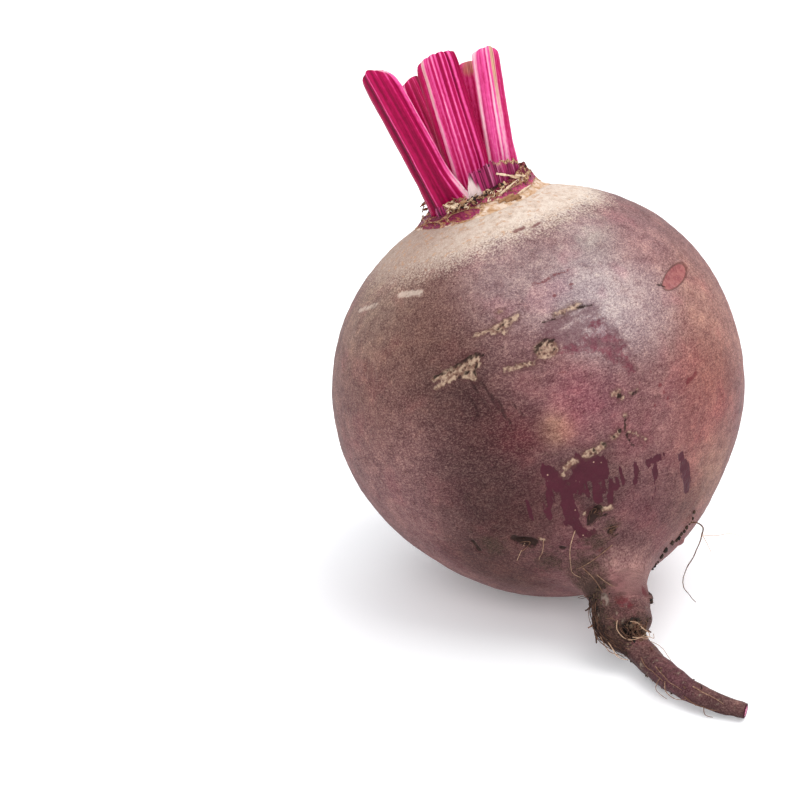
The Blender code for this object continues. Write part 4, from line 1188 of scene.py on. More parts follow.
def stalk_mesh(piece, name):
    """One cut stalk: rounded ribs with narrow grooves, a flaring sheath and a slanting cut."""
    (right, back), top, width, thickness, bearing, ribs = STALKS[name]
    draw = random.Random(name)
    foot = on_crown(right * MM, back * MM, float(crown_floor(right * MM)) - FOOT_SINK)
    lift = np.array(top) * MM
    reach = np.linalg.norm(lift)
    bow = CROWN_AXIS * reach * BOW
    turn = math.radians(bearing)
    out = on_crown(math.cos(turn), math.sin(turn), 0.0) - CROWN_SEAT
    slope = on_crown(-CROWN_SLANT, 0.0, 1.0) - CROWN_SEAT
    turns = turns_round(STALK_SIDES)
    side, front = np.sin(turns), np.cos(turns)
    lobe = np.abs(np.cos(ribs * turns)) ** 0.6 * 2 - 1
    fine_lobe = np.abs(np.cos(ribs * 2.5 * turns + 0.6)) * 2 - 1
    rib = 1.0 + 0.06 * lobe + 0.018 * fine_lobe
    smooth_side = smooth(-0.35, 0.1, front)
    wide = side * width / 2 * (1 + (rib - 1) * smooth_side)
    deep = front * thickness / 2 * rib
    hollow = 0.55 * np.cos(side * math.pi / 2) * thickness / 2
    deep = np.where(front > 0, deep, front * thickness / 2 + hollow * smooth(0.05, -0.4, front))
    left_wing, right_wing = SHEATH_WINGS[name]
    shade = draw.uniform(0, 20)
    places, strand, cut, along_values = [], [], [], []
    left_drop, right_drop, slant, raised, tilt = CUT_ENDS[name]
    drop = left_drop * np.maximum(-side, 0) ** 1.6 + right_drop * np.maximum(side, 0) ** 1.6
    # The cut's rings: share of the stalk's width, and rise in mm
    cap = [(0.97, 0.2), (0.92, 0.4), (0.85, 0.55), (0.74, 0.6), (0.5, 0.5), (0.25, 0.45)]
    for i in range(STALK_RINGS + len(cap) + 1):
        t = min(i / STALK_RINGS, 1.0)
        middle = foot + lift * t + bow * (t - t * t) * 2
        along = unit(lift + bow * (2 - 4 * t))
        across = unit(np.cross(along, out))
        outward = np.cross(across, along)
        size = 1.0 + 0.03 * (1 - t) ** 3 - 0.04 * t - 0.05 * max(0.0, (t - 0.92) / 0.08) ** 2
        rise = 0.0
        if i > STALK_RINGS:
            size *= cap[i - STALK_RINGS - 1][0]
            rise = cap[i - STALK_RINGS - 1][1]
        wing = np.where(side > 0, right_wing, left_wing) * side ** 2 * np.sign(side)
        flare = wing * max(0.0, 1 - t / 0.28) ** 1.6
        uneven = 0.05 * lumps(np.stack((side * 2, front * 2, front * 0 + t * 9 + shade), 1), 1.0)
        a = (wide * size * (1 + uneven * 0.4) + flare) * MM
        o = (deep * size * (1 + uneven)) * MM
        points = middle + np.outer(a, across) + np.outer(o, outward)
        fall = (points - foot) @ slope / (along @ slope)
        if i == 0:
            points = points - np.outer(fall, along)
        near_foot = max(0.0, 1 - t * 8)
        points = points - np.outer(fall * near_foot * 0.5, along) * (i > 0)
        end = smooth(0.86, 1.0, np.array(t))
        scallop = 0.36 * lobe * smooth_side * max(0.0, 1 - max(i - STALK_RINGS, 0) / 4)
        height = slant * o / MM + raised + (tilt * side - drop) * size ** 2 + scallop + rise
        points = points + np.outer(height * MM * end, along)
        places.append(points)
        strand.append(np.stack((wide + shade, deep, np.full(STALK_SIDES, t * reach / MM)), 1))
        cut.append(np.full(STALK_SIDES, float(i > STALK_RINGS + 3)))
        along_values.append(np.full(STALK_SIDES, t))
    count = STALK_SIDES * len(places)
    last = places[-1].mean(axis=0)
    first = places[0].mean(axis=0)
    rings = ring_numbers(STALK_SIDES, len(places))
    flat = np.vstack(places + [first[None], last[None]])
    faces = tube(rings, count, count + 1)
    pale = np.full(STALK_SIDES, STALK_TONES[name])
    yellow = np.zeros(STALK_SIDES)
    degrees = np.degrees(turns)
    for at, half, how_pale, how_yellow in STALK_STRIPES[name]:
        away = (degrees - at + 180) % 360 - 180
        amount = np.exp(-((away / half) ** 4))
        pale = pale * (1 - amount) + (how_pale + pale * 0.3) * amount
        yellow = yellow + how_yellow * amount
    groove = smooth(0.5, -0.6, lobe) * smooth_side
    pale = pale - 0.25 * groove
    rows = len(places)
    pale = np.append(np.tile(pale, rows), (0.0, 0.0))
    t_all = np.append(np.concatenate(along_values), (0.0, 1.0))
    side_all = np.append(np.tile(side, rows), (0.0, 0.0))
    wing_light = smooth(0.34, 0.04, t_all) * smooth(0.8, 0.97, np.abs(side_all))
    pale = pale + wing_light * 0.9 + smooth(0.93, 1.0, t_all) * 0.15
    yellow_from = 0.84 if name == "stalk_back_right" else 0.1
    yellow = np.append(np.tile(yellow, rows), (0.0, 0.0)) * smooth(yellow_from, 0.95, t_all)
    strand = np.vstack(strand + [np.zeros((2, 3))]) * MM
    piece.add(flat, faces, pale=pale, yellow=yellow, strand=strand,
              cut=np.append(np.concatenate(cut), (0.0, 1.0)), up=t_all)


def stalk_material(settings):
    """Satin magenta stalk with long pale, pink and crimson stripes and a moist cut."""
    look = Look("stalk_stripes", {
        "Specular IOR Level": 0.1, "Subsurface Weight": 0.1, "Subsurface Radius": (1.0, 0.3, 0.3),
        "Subsurface Scale": 0.001,
    })
    strand = look.vector("strand")
    hair = look.grain(0.16, 2.0, strand.scaled(1.0, 1.0, 0.02))
    thread = look.grain(0.55, 2.0, strand.scaled(1.0, 1.0, 0.03))
    band = look.grain(1.3, 2.0, strand.scaled(1.0, 1.0, 0.05))
    mottle = look.grain(0.4, 3.0, strand.scaled(1.0, 1.0, 0.45))
    tone = look.number("pale") + (hair - 0.5) * 0.7 + (thread - 0.5) * 0.8 + (band - 0.5) * 0.45
    tone = tone + (mottle - 0.5) * 0.55
    deep = look.tones(tone.between(-1.3, -0.35), (84, 0, 36), (134, 0, 54))
    colour = look.mix(tone.between(-0.65, 0.1), deep, settings["stalk"])
    colour = look.mix(tone.between(0.0, 0.6), colour, settings["pink"])
    colour = colour.coat(tone.between(0.5, 1.15), (240, 176, 196))
    colour = colour.coat(tone.between(1.0, 1.6), (248, 220, 222))
    yellow = (look.number("yellow") + (thread - 0.5) * 0.5).between(0.15, 0.95)
    straw = look.tones(hair.between(0.35, 0.6), (132, 112, 52), (206, 184, 122))
    colour = look.mix(yellow * 0.8, colour, straw)
    cut = look.number("cut")
    dots = 1.0 - look.cells(0.9).between(0.18, 0.34)
    face = look.tones(look.grain(1.2, 2.0), (222, 130, 160), (242, 198, 206))
    face = face.coat(dots * 0.8, (170, 30, 84))
    colour = look.mix(cut, colour, face)
    dust = look.grain(0.5, 3.0).between(0.66, 0.72) * (1.0 - look.number("up").between(0.05, 0.2))
    colour = colour.coat(dust * 0.7, (70, 44, 34))
    rough = 0.42 + (thread - 0.5) * 0.2
    normal = look.bump(hair * 0.5 + thread, 0.12)
    return look.set(Base_Color=colour, Roughness=rough, Normal=normal)


# Broken leaf bases

# First and last bearing in degrees, height and thickness in mm
STUBS = {
    "stub_front": (-98.0, -16.0, 5.6, 2.3),
    "stub_left": (-152.0, -112.0, 1.9, 1.5),
}


def stub_mesh(piece, name):
    """A torn leaf base: a thin curved wall with fine ribs and a ragged, dried top edge."""
    first, last, height, wall = STUBS[name]
    outer = CROWN_TOP_RADIUS - RIM_WIDTH - 0.5 * MM
    steps = int((last - first) * 2.0)
    rows = 20
    places, rim, strand, ends = [], [], [], []
    for k in range(steps + 1):
        t = k / steps
        bearing = math.radians(first + (last - first) * t)
        edge = min(t / 0.1, 1.0) ** 0.7
        rise = height * (0.3 + 0.7 * edge) * (1.0 - 0.62 * max(0.0, t - 0.42) / 0.58)
        rise += 0.5 * noise.noise((k * 0.13, 7.0, height))
        rise += 0.4 * noise.noise((k * 0.6, 3.0, height))
        rise = max(rise, 0.6)
        thick = wall * (0.45 + 0.55 * math.sin(math.pi * (0.08 + 0.84 * t))) * 0.8
        rib = 0.12 * abs(math.cos(k * 0.27)) + 0.05 * math.cos(k * 1.9)
        lean = 0.16 * rise + 0.35 * noise.noise((k * 0.12, 1.0, 5.0)) * rise / height
        column = []
        for r in range(rows):
            share = r / (rows - 1)
            column.append((rib + lean * share - 0.2 * share ** 3, rise * share))
        for r in range(rows):
            share = 1 - r / (rows - 1)
            narrowing = thick * (1 - 0.78 * share ** 1.5)
            side = rib + lean * share - 0.2 * share ** 3 - narrowing
            column.append((side, rise * share * 0.985))
        column = np.array(column)
        radius = outer + column[:, 0] * MM
        x, y = radius * math.cos(bearing), radius * math.sin(bearing)
        places.append(on_crown(x, y, crown_floor(x) - FOOT_SINK + column[:, 1] * MM))
        rim.append(rise - column[:, 1])
        across = np.full(2 * rows, k * 0.17)
        strand.append(np.stack((across, across * 0, column[:, 1]), 1) * MM)
        ends.append(np.full(2 * rows, t if name == "stub_front" else 0.2))
    rings = ring_numbers(2 * rows, steps + 1)
    flat = np.vstack(places + [places[0].mean(axis=0)[None], places[-1].mean(axis=0)[None]])
    faces = tube(rings, len(flat) - 2, len(flat) - 1)
    piece.add(flat, faces, rim=np.append(np.concatenate(rim), (1.0, 1.0)),
              strand=np.vstack(strand + [np.zeros((2, 3))]),
              end=np.append(np.concatenate(ends), (0.0, 1.0)))


def stub_material():
    """Striped wine-coloured base with a pale wing and a dried brown edge."""
    look = Look("torn_base", {"Specular IOR Level": 0.2})
    strand = look.vector("strand")
    thread = look.grain(0.45, 2.0, strand.scaled(1.0, 1.0, 0.05))
    band = look.grain(1.2, 2.0, strand.scaled(1.0, 1.0, 0.08))
    fine = look.grain(0.3, 3.0)
    end = look.number("end")
    colour = look.tones(thread.between(0.35, 0.6), (84, 6, 40), (164, 40, 96))
    colour = colour.coat(band.between(0.52, 0.7) * 0.7, (216, 132, 168))
    rim = look.number("rim") + (look.grain(0.8, 3.0) - 0.5) * 1.6
    wing = 1.0 - (end - look.number("rim") * 0.03 + (thread - 0.5) * 0.05).between(0.03, 0.09)
    colour = colour.coat(wing * 0.9, (226, 204, 200))
    dry = (1.0 - rim.between(0.25, 0.9)) * end.between(0.4, 0.6)
    brown = look.tones(fine.between(0.4, 0.6), (120, 82, 56), (218, 184, 140))
    colour = look.mix(dry * 0.85, colour, brown)
    dark = look.grain(1.1, 2.0).between(0.6, 0.66) * (1.0 - rim.between(0.9, 1.8))
    colour = colour.coat(dark * 0.9, (44, 24, 26))
    normal = look.bump(thread + fine * 0.5, 0.14)
    return look.set(Base_Color=colour, Roughness=0.55 + dry * 0.3, Normal=normal)


# Flakes, crumbs and rootlets

def flake(piece, place, normal, along, length, width, curl, draw, tone):
    """A thin torn scale of dried leaf base that curls off what it lies on."""
    normal, along = unit(normal), unit(along - normal * (along @ unit(normal)))
    across = np.cross(normal, along)
    rows, columns = 12, 8
    shift = draw.uniform(0, 50)
    top, bottom = [], []
    for i in range(rows + 1):
        s = i / rows
        half = width / 2 * (math.sin(math.pi * (0.1 + 0.84 * s)) ** 0.6)
        half *= 1 + 0.9 * noise.noise((s * 7, shift, 0.0))
        for j in range(columns + 1):
            u = j / columns * 2 - 1
            x = (s - 0.15) * length + 0.1 * length * noise.noise((u * 2, shift, 3.0)) * s
            y = half * u
            z = curl * length * s ** 2 + 0.12 * width * (1 - u * u) \
                + 0.12 * width * noise.noise((s * 3, u * 2 + shift, 9.0))
            point = place + along * x * MM + across * y * MM + normal * (z + 0.05) * MM
            top.append(point + normal * 0.045 * MM)
            bottom.append(point - normal * 0.045 * MM)
    n = columns + 1
    size = (rows + 1) * n
    faces = []
    for i in range(rows):
        for j in range(columns):
            a, b = i * n + j, i * n + j + 1
            c, d = a + n, b + n
            faces += [(a, b, d, c), (size + a, size + c, size + d, size + b)]
    border = list(range(n)) + [i * n + n - 1 for i in range(1, rows + 1)]
    border += [rows * n + j for j in range(n - 2, -1, -1)]
    border += [i * n for i in range(rows - 1, 0, -1)]
    for k, a in enumerate(border):
        b = border[(k + 1) % len(border)]
        faces.append((a, size + a, size + b, b))
    piece.add(np.array(top + bottom), faces, tone=tone)


def crumb(piece, place, size, draw, tone):
    """A rough grain of soil or dried tissue."""
    shift = draw.uniform(0, 90)
    stretch = [draw.uniform(0.65, 1.35) for _ in range(3)]
    rows, sides = 6, 9
    points = [place + np.array((0, 0, -size * stretch[2])) * MM]
    for i in range(1, rows):
        polar = math.pi * i / rows
        for k in range(sides):
            turn = math.tau * k / sides
            out = math.sin(polar)
            way = np.array((out * math.cos(turn), out * math.sin(turn), -math.cos(polar)))
            bulge = 1 + 0.45 * noise.noise((way[0] * 1.6 + shift, way[1] * 1.6, way[2] * 1.6))
            points.append(place + way * stretch * size * bulge * MM)
    points.append(place + np.array((0, 0, size * stretch[2])) * MM)
    rings = ring_numbers(sides, rows - 1, 1)
    piece.add(np.array(points), tube(rings, 0, len(points) - 1), tone=tone)


def rootlet(piece, points, thick, thin, draw, tone, wander=0.12):
    """A wandering thread of root through the given places, in metres; thickness in mm."""
    line = curve_through(points, max(4, int(36 / len(points))))
    shift = draw.uniform(0, 90)
    sway = np.array([
        [noise.noise((p[0] * 500 + shift + 9 * i, p[1] * 500, p[2] * 500)) for i in range(3)]
        for p in line.tolist()
    ])
    line = line + sway * wander * MM * np.linspace(0.2, 1.0, len(line))[:, None]
    sides = 6
    turns = turns_round(sides)
    across = unit(np.cross(line[1] - line[0], np.array((0.31, 0.52, 0.8))))
    places = []
    for i, p in enumerate(line):
        ahead = unit(line[min(i + 1, len(line) - 1)] - line[max(i - 1, 0)])
        across = unit(across - ahead * (across @ ahead))
        other = np.cross(ahead, across)
        share = i / (len(line) - 1)
        radius = (thick + (thin - thick) * share) / 2 * MM
        radius *= 1 + 0.3 * noise.noise((i * 0.5, shift, 1.0))
        out = np.outer(np.cos(turns), across) * radius + np.outer(np.sin(turns), other) * radius
        places.append(p + out)
    rings = ring_numbers(sides, len(line))
    faces = join_rings(rings) + [tuple(rings[0]), tuple(rings[-1][::-1])]
    piece.add(np.vstack(places), faces, tone=tone)


def tone_material(name, dark, middle, light):
    """Dry threads, scales or crumbs, from dark to light by the mesh's own tone."""
    look = Look(name, {"Specular IOR Level": 0.25})
    tone = look.number("tone") + (look.grain(0.6, 3.0) - 0.5) * 0.8
    colour = look.tones(tone.between(0.0, 0.5), dark, middle).coat(tone.between(0.45, 1.0), light)
    normal = look.bump(look.grain(0.3, 2.0), 0.08)
    return look.set(Base_Color=colour, Roughness=0.8 + (tone - 0.5) * 0.05, Normal=normal)


def skin_surface(down, bearing, lift=0.0):
    """A place on the bulb's skin, in metres, lifted off it by some mm."""
    way = skin_place(down, bearing, 1.0)[None]
    right, other = across_axis(TAIL_AXIS)
    angle = np.arccos(np.clip(way @ TAIL_AXIS, -1.0, 1.0))
    turn = np.arctan2(way @ other, way @ right)
    reach = bulb_reach(way, angle, turn) + mark_height(way) + lift * MM
    return BULB_CENTRE + way[0] * reach[0]


def tail_surface(along, bearing, lift=0.0):
    """A place on the neck or taproot, in metres, at a distance in mm and a bearing in degrees."""
    path, start = taproot()
    length = path.reach[-1] - start
    middle, a, b = path.at(start + along * MM)
    turn = math.radians(bearing)
    radius = float(taproot_radius(along * MM, length)) + lift * MM
    return middle + (a * math.cos(turn) + b * math.sin(turn)) * radius


# Up and right in the front view
SEEN_UP = np.array((0.0, math.sin(VIEW_ELEVATION), math.cos(VIEW_ELEVATION)))
RIGHT = np.array((1.0, 0.0, 0.0))


def beside(place, steps):
    """Places at steps to the right and up, in mm, as the front view shows them, and on the
    floor where they would be below it."""
    places = [place + (RIGHT * x + SEEN_UP * y) * MM for x, y in steps]
    forward = np.array((0.0, -SEEN_UP[2], SEEN_UP[1]))
    return [p + forward * max(0.0, 0.25 * MM - p[2]) / forward[2] for p in places]


def rootlet_pieces(piece, draw):
    """All the thin roots: loops on the skin, the tangle at the neck and those on the taproot."""
    pick = draw.uniform
    start = skin_surface(134.5, -49.0, 0.1)
    rootlet(piece, beside(start, [
        (0, 0), (1.4, 0.1), (2.6, -0.9), (2.4, -2.3), (1.0, -6.0), (-0.6, -8.8), (-1.2, -12.4),
        (-0.2, -14.0), (1.2, -15.4),
    ]), 0.34, 0.12, draw, 0.3, 0.25)
    branches = [
        ([(2.5, -2.3), (5.8, -2.4), (8.2, -2.1), (10.2, -2.7)], 0.3),
        ([(2.5, -2.3), (3.4, -4.0), (4.2, -5.6)], 0.2),
    ]
    for steps, wander in branches:
        rootlet(piece, beside(start, steps), 0.12, 0.07, draw, 0.9, wander)
    loops = [
        [(115.2, -92.5, 0.1), (118.5, -95.2, 0.9), (124.7, -97.5, 1.2), (129.4, -97.9, 0.5),
         (130.4, -96.4, 0.1)],
        [(123.3, -83.6, 0.1), (124.3, -88.8, 0.8), (126.0, -93.8, 0.9), (127.8, -96.8, 0.2)],
        [(127.6, -94.6, 0.1), (129.0, -92.2, 0.9), (131.2, -90.6, 0.5), (132.0, -90.0, 0.1)],
        [(128.7, -91.0, 0.1), (129.4, -88.4, 0.7), (130.2, -86.0, 0.2)],
        [(114.6, -101.8, 0.0), (117.6, -103.2, 0.6), (120.6, -105.5, 0.4), (122.4, -106.8, 0.1)],
        [(115.8, -108.2, 0.0), (118.4, -111.2, 0.5), (121.0, -113.4, 0.1)],
        [(118.0, 120.0, 0.0), (122.0, 116.0, 1.0), (127.0, 118.0, 0.8), (131.0, 124.0, 0.1)],
        [(108.0, 40.0, 0.0), (112.0, 43.0, 1.0), (117.0, 41.0, 0.9), (120.0, 36.0, 0.1)],
    ]
    for loop in loops:
        points = [skin_surface(*p) for p in loop]
        rootlet(piece, points, 0.17, 0.09, draw, pick(0.45, 0.85))

    for _ in range(30):
        along, bearing = pick(8.0, 11.5), pick(40, 140)
        points = [tail_surface(along, bearing, -1.2)]
        swirl = pick(0, math.tau)
        for _ in range(5):
            swirl += pick(0.6, 1.1)
            points.append(tail_surface(
                along + 1.5 * math.sin(swirl), bearing + 20 * math.cos(swirl),
                pick(-0.7, 0.3),
            ))
        rootlet(piece, points, pick(0.12, 0.24), 0.09, draw, pick(0.0, 0.6), 0.3)
    swirls = [
        [(7.6, 112, 0.1), (9.0, 122, 0.5), (11.0, 118, 0.7), (12.2, 96, 0.8), (12.4, 72, 0.7),
         (12.0, 52, 0.5)],
        [(8.6, 88, 0.2), (9.4, 72, 0.6), (11.0, 58, 0.9), (12.6, 48, 1.1), (13.4, 60, 0.6),
         (12.8, 74, 0.3)],
        [(11.2, 100, 0.2), (12.4, 84, 0.7), (13.2, 60, 0.9), (13.6, 36, 0.8), (12.6, 24, 1.2)],
    ]
    for swirl in swirls:
        rootlet(piece, [tail_surface(*p) for p in swirl], 0.2, 0.1, draw, 0.8, 0.2)
    for _ in range(30):
        along, bearing = pick(-0.5, 8.0), pick(146, 186)
        points = [tail_surface(along, bearing, -0.3)]
        for _ in range(3):
            along += pick(1.0, 3.0)
            bearing += pick(-12, 12)
            points.append(tail_surface(along, bearing, 0.1 + pick(0.0, 0.5)))
        rootlet(piece, points, pick(0.12, 0.24), 0.09, draw, pick(0.0, 0.3), 0.25)
    # Loops under the neck: distance, bearing, fall in mm and tone
    hanging = [(9.4, 172, 1.6, 0.6), (10.6, 168, 1.8, 0.9), (7.6, 178, 0.9, 0.4)]
    for along, bearing, fall, tone in hanging:
        points = [tail_surface(along - 1.8, bearing, 0.0)]
        points += [tail_surface(along + 0.9 * k, bearing + 3 * k, fall * math.sin(0.8 + 0.7 * k))
                   for k in range(4)]
        rootlet(piece, points, 0.22, 0.12, draw, tone, 0.2)
    for _ in range(4):
        along, bearing = pick(-0.6, 1.4), pick(150, 176)
        base = tail_surface(along, bearing, -0.3)
        fall = [(0, 0)]
        x, y = 0.0, 0.0
        for _ in range(3):
            x -= pick(0.6, 1.5)
            y -= pick(-0.1, 0.5)
            fall.append((x, y))
        rootlet(piece, beside(base, fall), 0.2, 0.1, draw, pick(0.0, 0.3), 0.3)

    # Threads along the taproot: stops (distance, bearing), rise, tone and thickness
    creeping = [
        ([(13.4, 36), (15.2, 18), (17.4, 6), (18.8, -2)], 0.7, 0.8, 0.12),
        ([(20.0, 110), (22.4, 122), (25.4, 134), (28.6, 140)], 0.3, 0.55, 0.22),
        ([(24.6, 150), (26.0, 168), (28.0, 178), (30.2, 160)], 1.2, 0.6, 0.2),
        ([(23.2, 150), (24.2, 176), (26.2, 196)], 1.6, 0.6, 0.16),
        ([(30.0, 96), (32.0, 104), (34.4, 112), (36.4, 124)], 0.3, 0.6, 0.24),
        ([(33.0, 180), (33.8, 196), (34.8, 210)], 1.3, 0.45, 0.18),
        ([(29.0, 168), (31.0, 176), (33.5, 178), (36.0, 172)], 0.35, 0.4, 0.28),
        ([(16.0, 130), (18.6, 140), (21.8, 142), (24.4, 150)], 0.25, 0.5, 0.24),
        ([(15.0, 230), (17.0, 250), (20.0, 260)], 0.5, 0.4, 0.22),
        ([(22.0, 290), (25.0, 300), (27.0, 320)], 0.4, 0.5, 0.2),
        ([(8.0, 260), (10.0, 280), (13.0, 275)], 0.5, 0.3, 0.24),
    ]
    for stops, rise, tone, thick in creeping:
        points = []
        for k, (along, bearing) in enumerate(stops):
            lift = -0.1 if k == 0 else rise * math.sin(math.pi * (0.25 + 0.6 * k / len(stops)))
            points.append(tail_surface(along, bearing, lift))
        rootlet(piece, points, thick, 0.1, draw, tone, 0.2)


def side_root_pieces(piece, draw):
    """Short broken side roots on the neck, on the taproot and in the bulb's pits."""
    pick = draw.uniform
    # Range of distances and of bearings, number, length and thickness in mm
    groups = [
        ((-1.0, 8.0), (180.0, 222.0), 5, 2.0, 0.6),
        ((8.5, 10.5), (60.0, 120.0), 4, 1.4, 0.6),
        ((2.0, 12.0), (-70.0, 10.0), 5, 1.6, 0.6),
        ((14.0, 33.0), (-180.0, 180.0), 6, 1.0, 0.5),
    ]
    for (low, high), (first, last), count, length, thick in groups:
        for k in range(count):
            along = low + (high - low) * (k + 0.5) / count
            bearing = pick(first, last)
            base = tail_surface(along, bearing, -0.6)
            out = unit(tail_surface(along, bearing, 1.0) - base)
            ahead = unit(tail_surface(along + 1.0, bearing) - tail_surface(along, bearing))
            points, place = [base], base
            heading = unit(out + ahead * 0.6)
            for _ in range(4):
                place = place + heading * length * pick(0.7, 1.1) / 3.4 * MM
                points.append(np.array((place[0], place[1], max(place[2], 0.3 * MM))))
                sway = np.array([pick(*ends) for ends in ((-1, 1), (-1, 1), (-1.2, 0.5))])
                heading = unit(heading + sway * 0.4)
            rootlet(piece, points, thick, thick * 0.45, draw, pick(0.05, 0.5), 0.25)
    for down, bearing in ((113.0, -86.0), (119.4, -82.4), (115.4, -107.4), (101.2, 127.6)):
        for _ in range(3):
            base = skin_surface(down, bearing, -0.5)
            points = [base]
            for step in range(3):
                points.append(skin_surface(
                    down + pick(-2.0, 2.0), bearing + pick(-2.4, 2.4),
                    0.1 + 0.25 * step,
                ))
            rootlet(piece, points, 0.18, 0.09, draw, pick(0.0, 0.5), 0.2)


def crumb_pieces(piece, draw):
    """Soil and torn bits: at the neck, on the crown and as dark beads on the right flank."""
    pick = draw.uniform
    beads = [
        (131.6, -46.6, 0.3), (133.2, -48.4, 0.44), (134.8, -49.2, 0.34), (136.2, -50.4, 0.48),
        (137.2, -52.2, 0.34), (137.8, -54.4, 0.44), (137.8, -57.0, 0.3), (137.6, -59.4, 0.5),
        (138.0, -62.0, 0.44), (139.4, -64.4, 0.5), (141.6, -66.2, 0.36), (144.0, -67.2, 0.3),
    ]
    for down, bearing, size in beads:
        for _ in range(3):
            aside = pick(-0.7, 0.7), pick(-0.9, 0.9)
            place = skin_surface(down + aside[0], bearing + aside[1], 0.1)
            crumb(piece, place, size * pick(0.5, 1.0), draw, pick(0.0, 0.35))
    for _ in range(90):
        along, bearing = pick(-1.5, 9.0), draw.gauss(155, 14)
        crumb(piece, tail_surface(max(along, 0.0), bearing, 0.05), pick(0.1, 0.34), draw,
              pick(0.0, 0.6))
    # Number, ranges of distance and bearing, lift, range of size in mm, lightest tone
    groups = [
        (70, (7.6, 12.4), (20, 170), -0.1, (0.1, 0.36), 0.7),
        (16, (1.6, 3.4), (10, 28), 0.3, (0.12, 0.4), 0.3),
        (40, (13.0, 36.0), (0, 360), 0.02, (0.08, 0.2), 0.8),
    ]
    for count, along, bearing, lift, size, lightest in groups:
        for _ in range(count):
            place = tail_surface(pick(*along), pick(*bearing), lift)
            crumb(piece, place, pick(*size), draw, pick(0.0, lightest))


def debris_pieces(piece, draw):
    """The row of dark and straw-coloured bits among the leaf bases."""
    pick = draw.uniform
    # Number, first and last bearing, deepest inset and highest rise in mm, tones
    groups = [
        (150, -112, -58, -1.2, 0.9, (0.0, 0.1, 0.3, 0.6, 0.9)),
        (90, -58, 180, -1.6, 0.5, (0.1, 0.3, 0.7, 1.0)),
    ]
    for count, first, last, inset, rise, tones in groups:
        for _ in range(count):
            bearing = math.radians(pick(first, last))
            radius = (CROWN_TOP_RADIUS / MM + pick(inset, 0.1)) * MM
            x, y = radius * math.cos(bearing), radius * math.sin(bearing)
            place = on_crown(x, y, float(crown_floor(x)) + pick(-0.2, rise) * MM)
            crumb(piece, place, pick(0.1, 0.34), draw, draw.choice(tones))


def crown_side(bearing, height, lift):
    """A place on the crown's side, from its bearing in degrees, height and lift off it in mm."""
    turn = math.radians(bearing)
    taper = (CROWN_TOP_RADIUS - CROWN_RADIUS) * min(max(height / 3.0, 0.0), 1.0)
    radius = CROWN_RADIUS + taper + lift * MM
    return on_crown(math.cos(turn) * radius, math.sin(turn) * radius, height * MM)


def fibre_pieces(piece, draw):
    """Torn fibres round the leaf scars and the straw-like tangle in front of the stalks."""
    pick = draw.uniform
    for at, up, half, tall, _ in LEAF_SCARS:
        for _ in range(0 if at < -120.0 else 4):
            first, last = sorted(pick(-30, 210) for _ in range(2))
            if last - first < 60:
                last = first + 60
            grow = pick(1.0, 1.2)
            points = []
            for step in range(7):
                turn = math.radians(first + (last - first) * step / 6)
                height = up + tall * grow * math.sin(turn)
                points.append(crown_side(at - half * grow * math.cos(turn), height,
                                         pick(0.05, 0.25)))
            thick, tone = pick(0.1, 0.22), pick(0.1, 0.8)
            rootlet(piece, points, thick, 0.08, draw, tone, 0.15)
    tangles = [(-124, -98, 2.2, 4.2, 46), (-100, -62, 2.4, 3.6, 30), (-62, -30, 2.4, 4.0, 26),
               (-20, 170, 2.6, 3.8, 50)]
    for left, right, low, high, count in tangles:
        for _ in range(count):
            bearing, height = pick(left, right), pick(low, high)
            points = []
            for _ in range(4):
                points.append(crown_side(bearing, height, pick(-0.5, 0.5)))
                bearing += pick(-4.0, 5.0)
                height += pick(-0.6, 0.6)
            thick, tone = pick(0.14, 0.32), pick(0.1, 1.0)
            rootlet(piece, points, thick, 0.1, draw, tone, 0.3)


def scale_pieces(piece, draw):
    """Papery scales: torn strips among the leaf bases, and flakes on the ring below them."""
    pick = draw.uniform
    across, away = across_axis(CROWN_AXIS)

    def on_side(bearing, height, lift, along_turn, length, width, curl, tone):
        turn = math.radians(bearing)
        out = across * math.cos(turn) + away * math.sin(turn)
        east = away * math.cos(turn) - across * math.sin(turn)
        along = east * math.cos(along_turn) + CROWN_AXIS * math.sin(along_turn)
        place = crown_side(bearing, height, lift)
        flake(piece, place, out, along, length, width, curl, draw, tone)

    # Bearing, height, lift, turn, length, width, curl and tone
    front = [
        (-122, 3.6, 0.2, -0.3, 2.6, 0.6, 0.15, 0.9), (-116, 3.0, 0.3, 0.4, 2.2, 0.7, 0.25, 0.8),
        (-110, 3.5, 0.2, 0.1, 2.4, 0.5, 0.2, 0.6), (-70, 1.3, 0.25, 0.15, 3.6, 0.7, 0.08, 0.5),
        (-64, 0.9, 0.3, 0.1, 3.0, 1.0, 0.2, 0.42), (-58, 0.7, 0.3, -0.1, 2.0, 0.8, 0.25, 0.35),
        (-52, 1.1, 0.2, 0.15, 4.6, 0.5, 0.04, 0.9), (-66, 2.6, 0.2, 0.3, 5.0, 0.5, 0.06, 0.85),
        (-24, 3.4, 0.1, 0.0, 2.8, 0.7, 0.1, 0.6),
    ]
    for row in front:
        on_side(*row)
    for k in range(16):
        bearing = -8 + 178 * (k + draw.random()) / 16
        on_side(bearing, draw.choice((0.8, 1.6, 2.8, 3.4)), 0.15, pick(-0.3, 0.3),
                pick(2.0, 4.2), pick(0.4, 0.8), pick(0.04, 0.2),
                pick(0.3, 1.0))
    torn = [
        (-60, 6.2, -0.3, -0.5, 3.4, 0.5, 0.05, 0.9), (-50, 5.2, -0.1, -0.6, 3.2, 0.45, 0.1, 0.7),
        (-40, 4.4, 0.1, -0.4, 2.8, 0.5, 0.12, 0.85),
    ]
    for row in torn:
        on_side(*row)


# Sizes and colours

def colour_property(name, description, colour):
    """A colour that a user would change, its default given 0 to 255."""
    return FloatVectorProperty(name=name, description=description, subtype="COLOR",
                               default=linear(colour), min=0.0, max=1.0)


